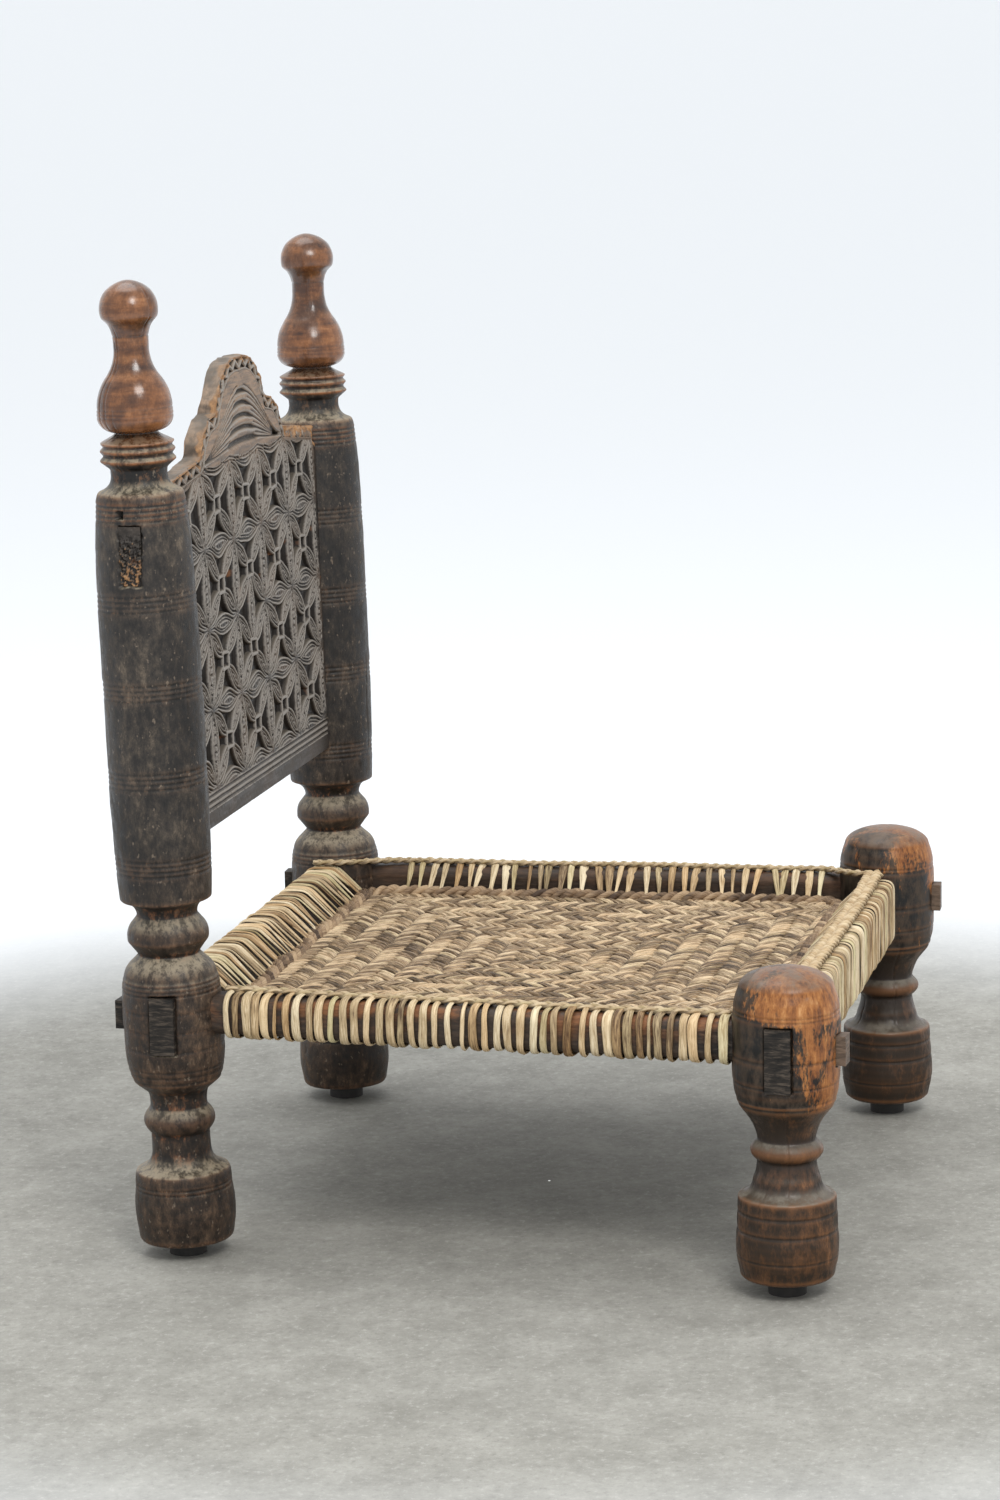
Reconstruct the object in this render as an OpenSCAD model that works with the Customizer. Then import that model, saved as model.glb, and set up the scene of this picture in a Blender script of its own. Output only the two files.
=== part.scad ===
// Low chair: two turned back posts that hold a carved panel, two short front legs,
// four seat rails with crossing through tenons, and a laced woven seat.
// The sitter faces -Y. Heights are measured from the floor, in millimetres.

/* [Frame] */
// Distance between the back post axes at the floor
back_spacing = 466; // [440:1:490]
// Distance between the front leg axes
front_spacing = 515; // [490:1:540]
// Distance between the front leg axes and the back post axes at the floor
leg_depth = 461.3; // [440:0.1:480]
// Backward lean of the back posts, in degrees
lean = 1.6; // [0:0.1:3]
// Sideways lean of each back post, in degrees
splay = 0.85; // [0:0.05:1.5]

/* [Rails] */
// Thickness of the front and back rail boards
board_t = 22; // [20:1:24]
// Thickness of the front and back rail tenons
board_tenon_t = 18.5; // [16:0.5:20]
// Lower edge of the front rail
front_rail_z = 158; // [154:1:162]
// Lower edge of the back rail
back_rail_z = 162; // [158:1:165]
// Upper edge of the front and back rails
board_top = 205; // [203:1:207]
// Width of the side rails
side_w = 28; // [26:1:30]
// Lower edge of the side rails
side_z = 173; // [171:1:175]
// Height of the side rails
side_h = 29; // [27:1:31]
// Width of the side rail tenons
side_tenon_w = 15; // [12:1:17]
// Height of the side rail tenons
side_tenon_h = 21.5; // [18:0.5:24]

/* [Panel] */
// Thickness of the carved panel
panel_t = 17; // [14:1:19]
// Depth of the carved pockets
pocket_d = 5; // [2:0.5:7]
// Lower edge of the panel
panel_z = 307; // [300:1:312]
// Sideways distance between rosettes
rosette_dx = 78.5; // [76:0.5:80]
// Height between rows of rosettes
rosette_dz = 61; // [58:0.5:61]

/* [Seat] */
// Height of the middle of the weave
weave_z = 180; // [178:1:182]
// Thickness of the weave
weave_t = 7; // [5:0.5:8]
// Radius of the cord around the weave
cord_r = 4.5; // [4:0.1:5]
// Thickness of the lacing strips
strip_t = 1.3; // [1:0.1:1.8]

/* [Feet] */
// Height of the glides under the feet
glide_h = 12.5; // [10:0.5:14]
// Radius of the glides
glide_r = 14; // [11:0.5:16]

/* [Hidden] */
$fn = 64;

// Leg axes
mid_y = -2.6;
front_y = mid_y - leg_depth / 2;
back_y = mid_y + leg_depth / 2;
front_x = front_spacing / 2;
back_x = back_spacing / 2;
// The back post axis at the height of the side rails
joint_z = 188;
joint_x = back_x + joint_z * tan(splay);
joint_y = back_y + joint_z * tan(lean);
// The back rail stands a little in front of that axis
back_rail_y = joint_y - 2.8;
// The side rails run from the back joint to the front leg, splaying forward
side_len = norm([front_x - joint_x, joint_y - front_y]);
skew = atan2(front_x - joint_x, joint_y - front_y);

// Radii of the turned barrels where the rails enter
post_r = 37.5;
leg_r = 39.3;
// How far a rail's shoulder stands from a leg axis
shoulder = 34;
// How far the side rail tenons stand out of the legs
proud = 5.6;

// Distance from each rail's middle line to the cord around the weave
side_gap = 26;
front_gap = 32.6;
back_gap = 33;
corner_r = 20;
post_tip = 732.6;
leg_tip = 242.3;

// ---- Turned profiles, as [radius, height] points ----

// Points from p towards q on a curve that bulges outward by s
function bow(p, q, s, n = 6) =
    let (d = q - p, side = [d[1], -d[0]] / norm(d))
    [for (i = [0 : n - 1]) let (t = i / n) p + d * t + side * 4 * s * t * (1 - t)];

// Radius of a barrel that is fullest at height c and loses drop at c +- half
function swell(z, c, half, r, drop) = r - drop * pow((z - c) / half, 4);
function barrel_r(z) = swell(z, 415, 150, 36.6, 3);
function joint_r(z) = swell(z, 182, 47, post_r, z < 182 ? 5.2 : 8.5);
function body_r(z) = swell(z, 185, 50, leg_r, 8.6);

// A fine groove cut to depth d at height z, where the radius is r
function groove(z, r, d = 0.9) = [[r, z - 0.9], [r - d, z], [r, z + 0.9]];

// A bead from height a to height b on a neck of radius r
function bead(a, b, r, out) = bow([r, a], [r, b], out, 8);

post_foot = concat(
    [[0, 10], [31, 10]],
    bow([31, 10], [35.6, 18], 1.5, 3),
    bow([35.6, 18], [36.6, 51], 1.6, 5),
    groove(53.3, 36.5),
    groove(56.6, 36.3),
    bow([36, 59], [34.8, 66.7], 0.2, 2),
    bow([34.8, 66.7], [22, 84], -4.5),
    [[22, 94]],
    bead(95.2, 114.4, 21.8, 5),
    bow([21.4, 115], [24, 131], -1.2, 4));

post_joint = concat(
    [for (z = [135.5 : 6 : 159.5]) [joint_r(z), z]],
    [for (s = [0 : 2]) each groove(163 + 14.5 * s, joint_r(163 + 14.5 * s), 0.6)],
    [for (s = [0 : 1]) each groove(209 + 3.4 * s, joint_r(209 + 3.4 * s), 0.8)],
    bow([34.9, 215], [25.4, 229], 2.2, 5),
    [[22.6, 232.5], [30.5, 243]],
    bow([30.5, 244.4], [23, 260], 2.6, 5),
    bow([22.5, 262], [33.6, 273], -3.4, 5));

// Five bands of four grooves, with plain stretches between them
band_z = 296;
band_step = 65.8;
post_barrel = concat(
    [for (z = [274 : 9 : 292]) [barrel_r(z), z]],
    [for (s = [0 : 4]) each concat(
        [for (g = [0 : 3]) let (z = band_z + band_step * s + 3.7 * g) each groove(z, barrel_r(z))],
        s < 4 ? [for (j = [1 : 3]) let (z = band_z + band_step * s + 11 + 12 * j) [barrel_r(z), z]] : [])],
    [[33.2, 571], [31.8, 577]],
    bow([30.6, 579], [20.8, 594], -4));

post_finial = concat(
    [[20.8, 595.5], [28.4, 601.7], [25, 605.3], [28.1, 609], [25, 611.8], [27.7, 614.6], [17.5, 620]],
    bow([15.3, 622], [27.8, 639], 5.5, 7),
    bow([27.8, 639], [18.6, 664.5], 2.4, 6),
    bow([18.6, 664.5], [13.3, 686], -1.8, 5),
    bow([13.3, 690], [19.5, 704.5], -1.6, 4),
    bow([20.8, 705.3], [16.6, 725], 2.6, 6),
    bow([16.6, 725], [0, post_tip], 1.6, 5),
    [[0, post_tip]]);

leg_foot = concat(
    [[0, 10], [29, 10]],
    bow([29, 10], [35, 19], 1.8, 3),
    bow([35, 19], [37, 46.5], 1.4, 5),
    groove(49.4, 36.9),
    groove(63, 36.2),
    [[35.6, 73.4]],
    bow([35.2, 74.4], [24.6, 86], -3, 5),
    bow([24.2, 87], [21.4, 99.5], -0.6, 3),
    bead(100.5, 115.4, 21.2, 5.2),
    bow([21, 116], [33, 139], -2.2, 6));

leg_body = concat(
    [for (z = [141 : 3 : 144]) [body_r(z), z]],
    groove(147.3, body_r(147.3), 0.7),
    [for (z = [153 : 8 : 169]) [body_r(z), z]],
    groove(178.6, body_r(178.6), 0.7),
    [for (z = [186 : 7 : 207]) [body_r(z), z]],
    groove(209.6, body_r(209.6)),
    groove(212.4, body_r(212.4)),
    [for (z = [217 : 5 : 227]) [body_r(z), z]],
    [for (a = [0 : 10 : 90]) [body_r(228) * cos(a), 228 + (leg_tip - 228) * sin(a)]]);

module cut_level() {
    difference() {
        children();
        translate([-100, -100, glide_h - 20]) cube([200, 200, 20]);
    }
}

module turned_post() {
    translate([back_x, back_y, 0])
        cut_level()
        rotate([-lean, splay, 0])
        rotate_extrude()
        polygon(concat(post_foot, post_joint, post_barrel, post_finial));
}

module turned_leg() {
    translate([front_x, front_y, 0])
        cut_level()
        rotate_extrude()
        polygon(concat(leg_foot, leg_body));
}

// ---- Rails. Each is drawn along Y with its outer side at +X ----

// A bar's section with rounded edges, centred on x
module bar_section(w, z, h, r) {
    translate([-w / 2 + r, z]) square([w - 2 * r, h]);
    translate([-w / 2, z + r]) square([w, h - 2 * r]);
    for (x = [-1, 1], y = [0, 1])
        translate([x * (w / 2 - r), z + r + y * (h - 2 * r)]) circle(r);
}

module bar(w, z, h, r, len) {
    translate([0, len / 2, 0]) rotate([90, 0, 0]) linear_extrude(len) bar_section(w, z, h, r);
}

module at_front() {
    translate([0, front_y, 0]) rotate([0, 0, -90]) children();
}

module at_back() {
    translate([0, back_rail_y, 0]) rotate([0, 0, 90]) children();
}

// The sitter's left side, at +X
module at_left() {
    translate([(joint_x + front_x) / 2, (joint_y + front_y) / 2, 0]) rotate([0, 0, skew]) children();
}

module at_right() {
    mirror([1, 0, 0]) at_left() children();
}

module board(half, r, z) {
    bar(board_t, z, board_top - z, 3, 2 * (half - shoulder));
    translate([-board_tenon_t / 2, -half - r - 1.5, z])
        cube([board_tenon_t, 2 * (half + r + 1.5), board_top - z]);
}

module side_bar() {
    bar(side_w, side_z, side_h, 8, side_len - 2 * shoulder);
    translate([-side_tenon_w / 2, -side_len / 2 - leg_r - proud, side_z])
        cube([side_tenon_w, side_len + leg_r + post_r + 2 * proud, side_tenon_h]);
}

module side_tenon_holes() {
    for (m = [0, 1])
        mirror([m, 0, 0]) at_left()
            translate([-side_tenon_w / 2, -side_len / 2 - 60, side_z])
            cube([side_tenon_w, side_len + 120, side_tenon_h]);
}

module side_rail_left() {
    color("#3b2a1f") at_left() side_bar();
}

module side_rail_right() {
    color("#3b2a1f") at_right() side_bar();
}

module front_rail() {
    color("#33261d") difference() {
        at_front() board(front_x, leg_r, front_rail_z);
        side_tenon_holes();
    }
}

module back_rail() {
    color("#33261d") difference() {
        at_back() board(joint_x, post_r, back_rail_z);
        side_tenon_holes();
    }
}

// ---- Carved panel, drawn upright and then leaned with the posts ----

panel_front = -9;
tongue_top = 568;
tenon_z = [513, 555];
tenon_end = back_x + 534 * tan(splay) + 36.2;

// Sideways place of the panel's edge in the post's slot, at height z
function tongue_x(z) = back_x + z * tan(splay) - 26;

// Right half of the panel's outline, from the foot to the top of the arch
panel_half = concat(
    [[tongue_x(panel_z), panel_z], [tongue_x(tenon_z[0]), tenon_z[0]]],
    [[tenon_end, tenon_z[0]], [tenon_end, tenon_z[1]]],
    [[tongue_x(tenon_z[1]), tenon_z[1]], [tongue_x(tongue_top), tongue_top]],
    [[204, tongue_top], [203, 577], [119, 586]],
    bow([115, 588], [86, 613.5], 4, 5),
    [[86, 613.5], [70, 616]],
    bow([70, 616], [0, 653], 13, 9),
    [[0, 653]]);

module panel_blank() {
    outline = concat(panel_half, [for (i = [len(panel_half) - 2 : -1 : 0]) [-panel_half[i][0], panel_half[i][1]]]);
    translate([0, panel_front + panel_t, 0]) rotate([90, 0, 0]) linear_extrude(panel_t) polygon(outline);
}

// Rosettes stand at the corners of cells. The pockets lie between their petals.
rosette_z = 333.5;
petal = 5.2;

module cell_pockets() {
    a = rosette_dx / 2;
    b = rosette_dz / 2;
    for (s = [-1, 1]) {
        polygon([[s * (a - petal), b * 0.62], [s * (a - petal), -b * 0.62], [s * 10, 0]]);
        polygon([[a * 0.62, s * (b - petal)], [-a * 0.62, s * (b - petal)], [0, s * 9]]);
    }
    circle(3.6);
}

module pockets() {
    for (i = [-2 : 2], j = [0 : 3])
        translate([i * rosette_dx, panel_front + pocket_d, rosette_z + (j + 0.5) * rosette_dz])
            rotate([90, 0, 0])
            linear_extrude(pocket_d + 1)
            cell_pockets();
}

// Mouldings run along the foot of the panel, and slots follow the arch
module mouldings() {
    half = back_x - 32;
    for (z = [321.2, 326, 330.6])
        translate([-half, panel_front - 1, z - 0.8]) cube([2 * half, 2.2, 1.6]);
    for (i = [0 : 3])
        translate([0, panel_front + 2, 0]) rotate([90, 0, 0]) linear_extrude(3)
            polygon(concat(
                bow([-38 - 4 * i, 592 + 9 * i], [38 + 4 * i, 592 + 9 * i], -5, 8),
                bow([38 + 4 * i, 592 + 9 * i], [-38 - 4 * i, 592 + 9 * i], 2.2, 8)));
}

module back_panel() {
    color("#4a4642") translate([0, back_y, 0]) rotate([-lean, 0, 0]) difference() {
        panel_blank();
        pockets();
        mouldings();
    }
}

module panel_slot() {
    translate([0, back_y, 0]) rotate([-lean, 0, 0]) panel_blank();
}

// ---- Legs, with their mortises cut by the pieces that fit them ----

module nail_at(x, y) {
    translate([x, y, 2]) cylinder(h = 1.5, r = 4);
    translate([x, y, 2]) cylinder(h = 38, r = 1.7);
}

module post_left() {
    difference() {
        turned_post();
        at_left() side_bar();
        at_back() board(joint_x, post_r, back_rail_z);
        panel_slot();
        nail_at(back_x, back_y);
    }
}

module leg_left() {
    difference() {
        turned_leg();
        at_left() side_bar();
        at_front() board(front_x, leg_r, front_rail_z);
        nail_at(front_x, front_y);
    }
}

module back_post_left() {
    color("#3d342c") post_left();
}

// The right post also has a small square peg hole above the panel's tenon
module back_post_right() {
    color("#3d342c") difference() {
        mirror([1, 0, 0]) post_left();
        translate([-back_x - 46, back_y + 20, 561]) cube([14, 5, 5.5]);
    }
}

module front_leg_left() {
    color("#8a5a32") leg_left();
}

module front_leg_right() {
    color("#8a5a32") mirror([1, 0, 0]) leg_left();
}

// ---- Glides and their nails ----

module glide(x, y) {
    difference() {
        translate([x, y, 0]) cylinder(h = glide_h, r = glide_r);
        nail_at(x, y);
        translate([x, y, -1]) cylinder(h = 3, r = 4);
    }
}

module glide_back_right() {
    color("#1b1b1b") glide(-back_x, back_y);
}

module glide_back_left() {
    color("#1b1b1b") glide(back_x, back_y);
}

module glide_front_right() {
    color("#1b1b1b") glide(-front_x, front_y);
}

module glide_front_left() {
    color("#1b1b1b") glide(front_x, front_y);
}

module glide_nails() {
    color("#77706a") for (s = [-1, 1]) {
        nail_at(s * back_x, back_y);
        nail_at(s * front_x, front_y);
    }
}

// ---- Woven seat. Its cord follows the four rails with rounded corners ----

// Heights along Y of the corner centres, front and back
weave_y = [front_y + front_gap + corner_r, back_rail_y - back_gap - corner_r];
// Sideways place of a corner centre at y, inside the slanting side cord
side_d = cos(skew) * joint_x + sin(skew) * joint_y - side_gap;
function weave_x(y) = (side_d - corner_r - sin(skew) * y) / cos(skew);

// Stations around the weave, front to back and round again: corner centre, then direction
half_stations = concat(
    [for (a = [-90 : (90 + skew) / 6 : skew + 1]) [weave_x(weave_y[0]), weave_y[0], a]],
    [for (a = [skew : (90 - skew) / 6 : 91]) [weave_x(weave_y[1]), weave_y[1], a]]);
stations = concat(half_stations,
    [for (i = [len(half_stations) - 1 : -1 : 0]) let (s = half_stations[i]) [-s[0], s[1], 180 - s[2]]]);

// Outline of the weave, grown by e from the cord's middle line
function weave_outline(e) =
    [for (s = stations) [s[0], s[1]] + (corner_r + e) * [cos(s[2]), sin(s[2])]];

module weave_slab(e) {
    linear_extrude(weave_t) polygon(weave_outline(e));
}

cord_sides = 12;

module cord_loop() {
    n = len(stations);
    m = cord_sides;
    points = [for (s = stations, j = [0 : m - 1])
        let (t = 360 * j / m, out = corner_r + cord_r * cos(t))
        [s[0] + out * cos(s[2]), s[1] + out * sin(s[2]), weave_z + cord_r * sin(t)]];
    faces = [for (i = [0 : n - 1], j = [0 : m - 1])
        let (k = (i + 1) % n, l = (j + 1) % m)
        [i * m + j, i * m + l, k * m + l, k * m + j]];
    polyhedron(points, faces);
}

module border_cord() {
    color("#8f7650") cord_loop();
}

module seat_weave() {
    color("#b39b74") difference() {
        translate([0, 0, weave_z - weave_t / 2]) weave_slab(-1.6);
        cord_loop();
    }
}

// ---- Lacing: strips that hang the cord from a rail, over it and back below ----

// Path of a strip around a rail of half width w, from z to top, e outside it
function strip_path(w, z, top, gap, chamfer, e) = [
    [-gap, weave_z - cord_r - e],
    [-w + 4, z - e],
    [w - chamfer, z - e],
    [w + e, z + chamfer],
    [w + e, top - chamfer],
    [w - chamfer, top + e],
    [-w + 4, top + e],
    [-gap, weave_z + cord_r + e]];

module strips(count, pitch, wide, w, z, top, gap, chamfer) {
    inner = strip_path(w, z, top, gap, chamfer, 0.05);
    outer = strip_path(w, z, top, gap, chamfer, strip_t);
    band = concat(outer, [for (i = [7 : -1 : 0]) inner[i]]);
    for (i = [0 : count - 1])
        translate([0, (i - (count - 1) / 2) * pitch + 0.7 * sin(137 * i) + wide / 2, 0])
            rotate([90, 0, 0])
            linear_extrude(wide)
            polygon(band);
}

module lacing_front() {
    color("#cdb98a")
        at_front() strips(38, 10.2, 8.4, board_t / 2, front_rail_z, board_top, front_gap, 1.2);
}

module lacing_back() {
    color("#c2ad80")
        at_back() strips(34, 10.6, 7, board_t / 2, back_rail_z, board_top, back_gap, 1.2);
}

module side_strips() {
    strips(38, 9.6, 6.3, side_w / 2, side_z, side_z + side_h, side_gap, 4);
}

module lacing_left() {
    color("#c2ad80") at_left() side_strips();
}

module lacing_right() {
    color("#c2ad80") at_right() side_strips();
}

// ---- Braids along the tops of the rails, over the strips ----

module braid(len, u, z) {
    translate([u, len / 2, z]) rotate([90, 0, 0]) linear_extrude(len)
        polygon(concat(bow([5, 0.2], [-5, 0.2], 4.4, 8), [[-5, 0.2]]));
}

module braid_front() {
    color("#d6c498") at_front() braid(2 * front_x - 90, 0, board_top + strip_t);
}

module braid_left() {
    color("#b9a173") at_left() braid(side_len - 84, -2, side_z + side_h + strip_t);
}

module braid_right() {
    color("#b9a173") at_right() braid(side_len - 84, -2, side_z + side_h + strip_t);
}

back_post_right();
back_post_left();
front_leg_right();
front_leg_left();
back_panel();
front_rail();
back_rail();
side_rail_right();
side_rail_left();
seat_weave();
border_cord();
lacing_front();
lacing_back();
lacing_right();
lacing_left();
braid_front();
braid_right();
braid_left();
glide_back_right();
glide_back_left();
glide_front_right();
glide_front_left();
glide_nails();
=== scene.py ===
"""Looks of the low carved chair: turned wood, carved panel, laced and plaited seat."""
import math
import bpy
import numpy as np
from mathutils import Matrix, Vector


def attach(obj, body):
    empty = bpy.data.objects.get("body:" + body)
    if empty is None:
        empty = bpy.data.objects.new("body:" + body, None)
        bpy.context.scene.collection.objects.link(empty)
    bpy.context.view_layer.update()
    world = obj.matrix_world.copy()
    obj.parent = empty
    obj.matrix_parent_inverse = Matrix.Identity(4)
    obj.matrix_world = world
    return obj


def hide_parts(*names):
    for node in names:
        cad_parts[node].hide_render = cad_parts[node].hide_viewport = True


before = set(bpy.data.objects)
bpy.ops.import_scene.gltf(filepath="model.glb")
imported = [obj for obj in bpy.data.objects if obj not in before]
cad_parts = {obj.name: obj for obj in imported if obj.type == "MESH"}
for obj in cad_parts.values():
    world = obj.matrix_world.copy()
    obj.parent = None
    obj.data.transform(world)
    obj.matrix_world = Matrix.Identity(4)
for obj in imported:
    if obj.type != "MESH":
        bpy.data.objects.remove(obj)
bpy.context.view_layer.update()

MM = 0.001
UP = np.array([0.0, 0.0, 1.0])
TURN = 2 * math.pi


# ---- Places shared by several pieces, in millimetres, as the CAD has them ----

FRONT_Y = -233.25
BACK_Y = 228.05
FRONT_X = 257.5
BACK_X = 233.0
LEAN = math.radians(1.6)
SPLAY = math.radians(0.85)
JOINT_Z = 188.0
JOINT_X = BACK_X + JOINT_Z * math.tan(SPLAY)
JOINT_Y = BACK_Y + JOINT_Z * math.tan(LEAN)
BACK_RAIL_Y = JOINT_Y - 2.8
SKEW = math.atan2(FRONT_X - JOINT_X, JOINT_Y - FRONT_Y)
WEAVE_Z = 180.0
# Half width, lowest, highest, distance to the cord and corner radius of each rail
RAIL_SIZES = {"front": (11, 158.0, 205.0, 32.6, 2.0), "back": (11, 162.0, 205.0, 33.0, 2.0),
              "left": (14, 173.0, 202.0, 26.0, 7.0), "right": (14, 173.0, 202.0, 26.0, 7.0)}


def rail_spots(kind):
    """A rail's middle, its outward direction and its length direction, seen from above."""
    if kind == "front":
        return np.array([0, FRONT_Y]), np.array([0, -1.0]), np.array([1.0, 0])
    if kind == "back":
        return np.array([0, BACK_RAIL_Y]), np.array([0, 1.0]), np.array([-1.0, 0])
    side = 1 if kind == "left" else -1
    middle = np.array([side * (JOINT_X + FRONT_X) / 2, (JOINT_Y + FRONT_Y) / 2])
    out = np.array([side * math.cos(SKEW), math.sin(SKEW)])
    return middle, out, np.array([-out[1], out[0]]) * side


# ---- Small maths helpers ----

def smooth_step(a, b, x):
    """0 at a and before, 1 at b and beyond, with soft ends."""
    t = np.clip((x - a) / (b - a), 0, 1)
    return t * t * (3 - 2 * t)


def waves(points, size, seed, octaves=3):
    """Smooth noise, about -1 to 1, at 3-D points given in millimetres."""
    rng = np.random.default_rng(seed)
    total = np.zeros(len(points))
    for octave in range(octaves):
        reach = size / 2 ** octave
        for _ in range(7):
            way = rng.normal(size=3)
            way *= TURN / (reach * np.linalg.norm(way))
            total += np.sin(points @ way + rng.uniform(0, 6.3)) * 0.42 / 1.8 ** octave
    return total


def points_at(*parts):
    """Points from their coordinates, each a number or a grid."""
    return np.stack(np.broadcast_arrays(*parts), -1)


def flat_waves(x, h, size, seed, octaves):
    """Smooth noise over a grid of 2-D points."""
    return waves(points_at(x, h, 0.0).reshape(-1, 3), size, seed, octaves).reshape(x.shape)


def circle(count):
    """Angles evenly round a circle."""
    return np.linspace(0, TURN, count, endpoint=False)


def rounded(values, reach):
    """A list of numbers smoothed over a few neighbours, ends kept."""
    span = np.arange(-3 * reach, 3 * reach + 1)
    weights = np.exp(-0.5 * (span / reach) ** 2)
    weights /= weights.sum()
    padded = np.pad(values, 3 * reach, mode="edge")
    return np.convolve(padded, weights, mode="valid")


def blurred(grid, reach):
    """A grid of values averaged over reach cells each way."""
    span = 2 * reach + 1
    for axis in (0, 1):
        count = grid.shape[axis]
        margins = [(reach, reach) if k == axis else (0, 0) for k in (0, 1)]
        padded = np.pad(grid, margins, mode="edge")
        grid = sum(np.take(padded, range(i, i + count), axis) for i in range(span)) / span
    return grid


def resample(path, step):
    """Points evenly spaced along a path, about step apart."""
    path = np.asarray(path, float)
    legs = np.linalg.norm(np.diff(path, axis=0), axis=1)
    along = np.concatenate([[0], np.cumsum(legs)])
    count = max(2, round(along[-1] / step) + 1)
    at = np.linspace(0, along[-1], count)
    return np.stack([np.interp(at, along, path[:, k]) for k in range(path.shape[1])], axis=1)


# ---- Meshes ----

def new_object(name, data):
    """A new object in the scene."""
    made = bpy.data.objects.new(name, data)
    bpy.context.scene.collection.objects.link(made)
    return made


class Shape:
    """Points, faces and per-point values collected for one mesh, in millimetres."""

    def __init__(self):
        self.points, self.quads, self.tris, self.values = [], [], [], {}
        self.count = 0

    def add(self, points, quads=(), tris=(), **values):
        """Takes points in any grid, faces that index them, and values, each one number or one a point."""
        points = np.asarray(points, float).reshape(-1, 3)
        self.points.append(points)
        if len(quads):
            self.quads.append(np.asarray(quads, int) + self.count)
        if len(tris):
            self.tris.append(np.asarray(tris, int) + self.count)
        for name, value in values.items():
            self.values.setdefault(name, []).append(np.broadcast_to(np.ravel(value), len(points)))
        self.count += len(points)

    def build(self, name, material, replaces=()):
        """Makes the object, gives it its material, and lets it ride on the frame."""
        mesh = bpy.data.meshes.new(name)
        points = np.concatenate(self.points) * MM
        mesh.vertices.add(len(points))
        mesh.vertices.foreach_set("co", points.ravel())
        sizes, loops = [], []
        for kind, size in ((self.quads, 4), (self.tris, 3)):
            if kind:
                faces = np.concatenate(kind)
                loops.append(faces.ravel())
                sizes.append(np.full(len(faces), size))
        loops, sizes = np.concatenate(loops), np.concatenate(sizes)
        mesh.loops.add(len(loops))
        mesh.loops.foreach_set("vertex_index", loops)
        mesh.polygons.add(len(sizes))
        mesh.polygons.foreach_set("loop_start", np.cumsum(sizes) - sizes)
        mesh.update(calc_edges=True)
        mesh.polygons.foreach_set("use_smooth", np.full(len(sizes), True))
        for key, parts in self.values.items():
            layer = mesh.attributes.new(key, "FLOAT", "POINT")
            layer.data.foreach_set("value", np.concatenate(parts).astype(np.float32))
        mesh.materials.append(material)
        piece = new_object(name, mesh)
        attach(piece, "root")
        if replaces:
            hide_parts(*replaces)
        return piece


def grid_quads(rows, columns, closed_rows=False, closed_columns=False):
    """Faces of a grid of points stored row by row."""
    i = np.arange(rows if closed_rows else rows - 1)
    j = np.arange(columns if closed_columns else columns - 1)
    i, j = np.meshgrid(i, j, indexing="ij")
    k, l = (i + 1) % rows, (j + 1) % columns
    return np.stack([i * columns + j, i * columns + l, k * columns + l, k * columns + j], -1).reshape(-1, 4)


def over_rings(value, stations, sides):
    """A value for each point of a tube, from one number, one for each station, or a grid."""
    if np.ndim(value) < 2:
        value = np.broadcast_to(value, stations)[:, None]
    return np.broadcast_to(value, (stations, sides)).ravel()


def facing_out(points, quads, tris):
    """The faces of a closed skin, turned round if it is inside out."""
    local = points - points.mean(0)
    corners = [faces for faces in (quads[:, :3], quads[:, [0, 2, 3]], tris) if len(faces)]
    volume = sum(np.sum(local[f[:, 0]] * np.cross(local[f[:, 1]], local[f[:, 2]])) for f in corners)
    return (quads, tris) if volume > 0 else (quads[:, ::-1], tris[:, ::-1])


def tube(shape, rings, closed=False, **values):
    """A skin over rings of points, an array of (stations, sides, 3), with its ends capped."""
    stations, sides = rings.shape[:2]
    points = rings.reshape(-1, 3)
    quads = grid_quads(stations, sides, closed_rows=closed, closed_columns=True)
    values = {key: over_rings(value, stations, sides) for key, value in values.items()}
    tris = np.zeros((0, 3), int)
    if not closed:
        points = np.concatenate([points, [rings[0].mean(0), rings[-1].mean(0)]])
        values = {key: np.append(value, [value[0], value[-1]]) for key, value in values.items()}
        j = np.arange(sides)
        k = (j + 1) % sides
        first, last = stations * sides, stations * sides + 1
        base = (stations - 1) * sides
        tris = np.concatenate([np.stack([np.full(sides, first), k, j], -1),
                               np.stack([np.full(sides, last), base + j, base + k], -1)])
    shape.add(points, *facing_out(points, quads, tris), **values)


def rim(rows, columns):
    """Row and column of each point round the edge of a grid, in order."""
    ring = [(0, j) for j in range(columns)] + [(i, columns - 1) for i in range(1, rows)]
    ring += [(rows - 1, j) for j in range(columns - 2, -1, -1)] + [(i, 0) for i in range(rows - 2, 0, -1)]
    return np.array(ring).T


def frames(path, closed=False):
    """Side and up directions along a path, square to it."""
    along = np.roll(path, -1, 0) - np.roll(path, 1, 0) if closed else np.gradient(path, axis=0)
    along /= np.linalg.norm(along, axis=1)[:, None]
    side = np.cross(along, np.broadcast_to(UP, path.shape))
    side /= np.linalg.norm(side, axis=1)[:, None]
    return side, np.cross(side, along)


# ---- Materials ----

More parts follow.
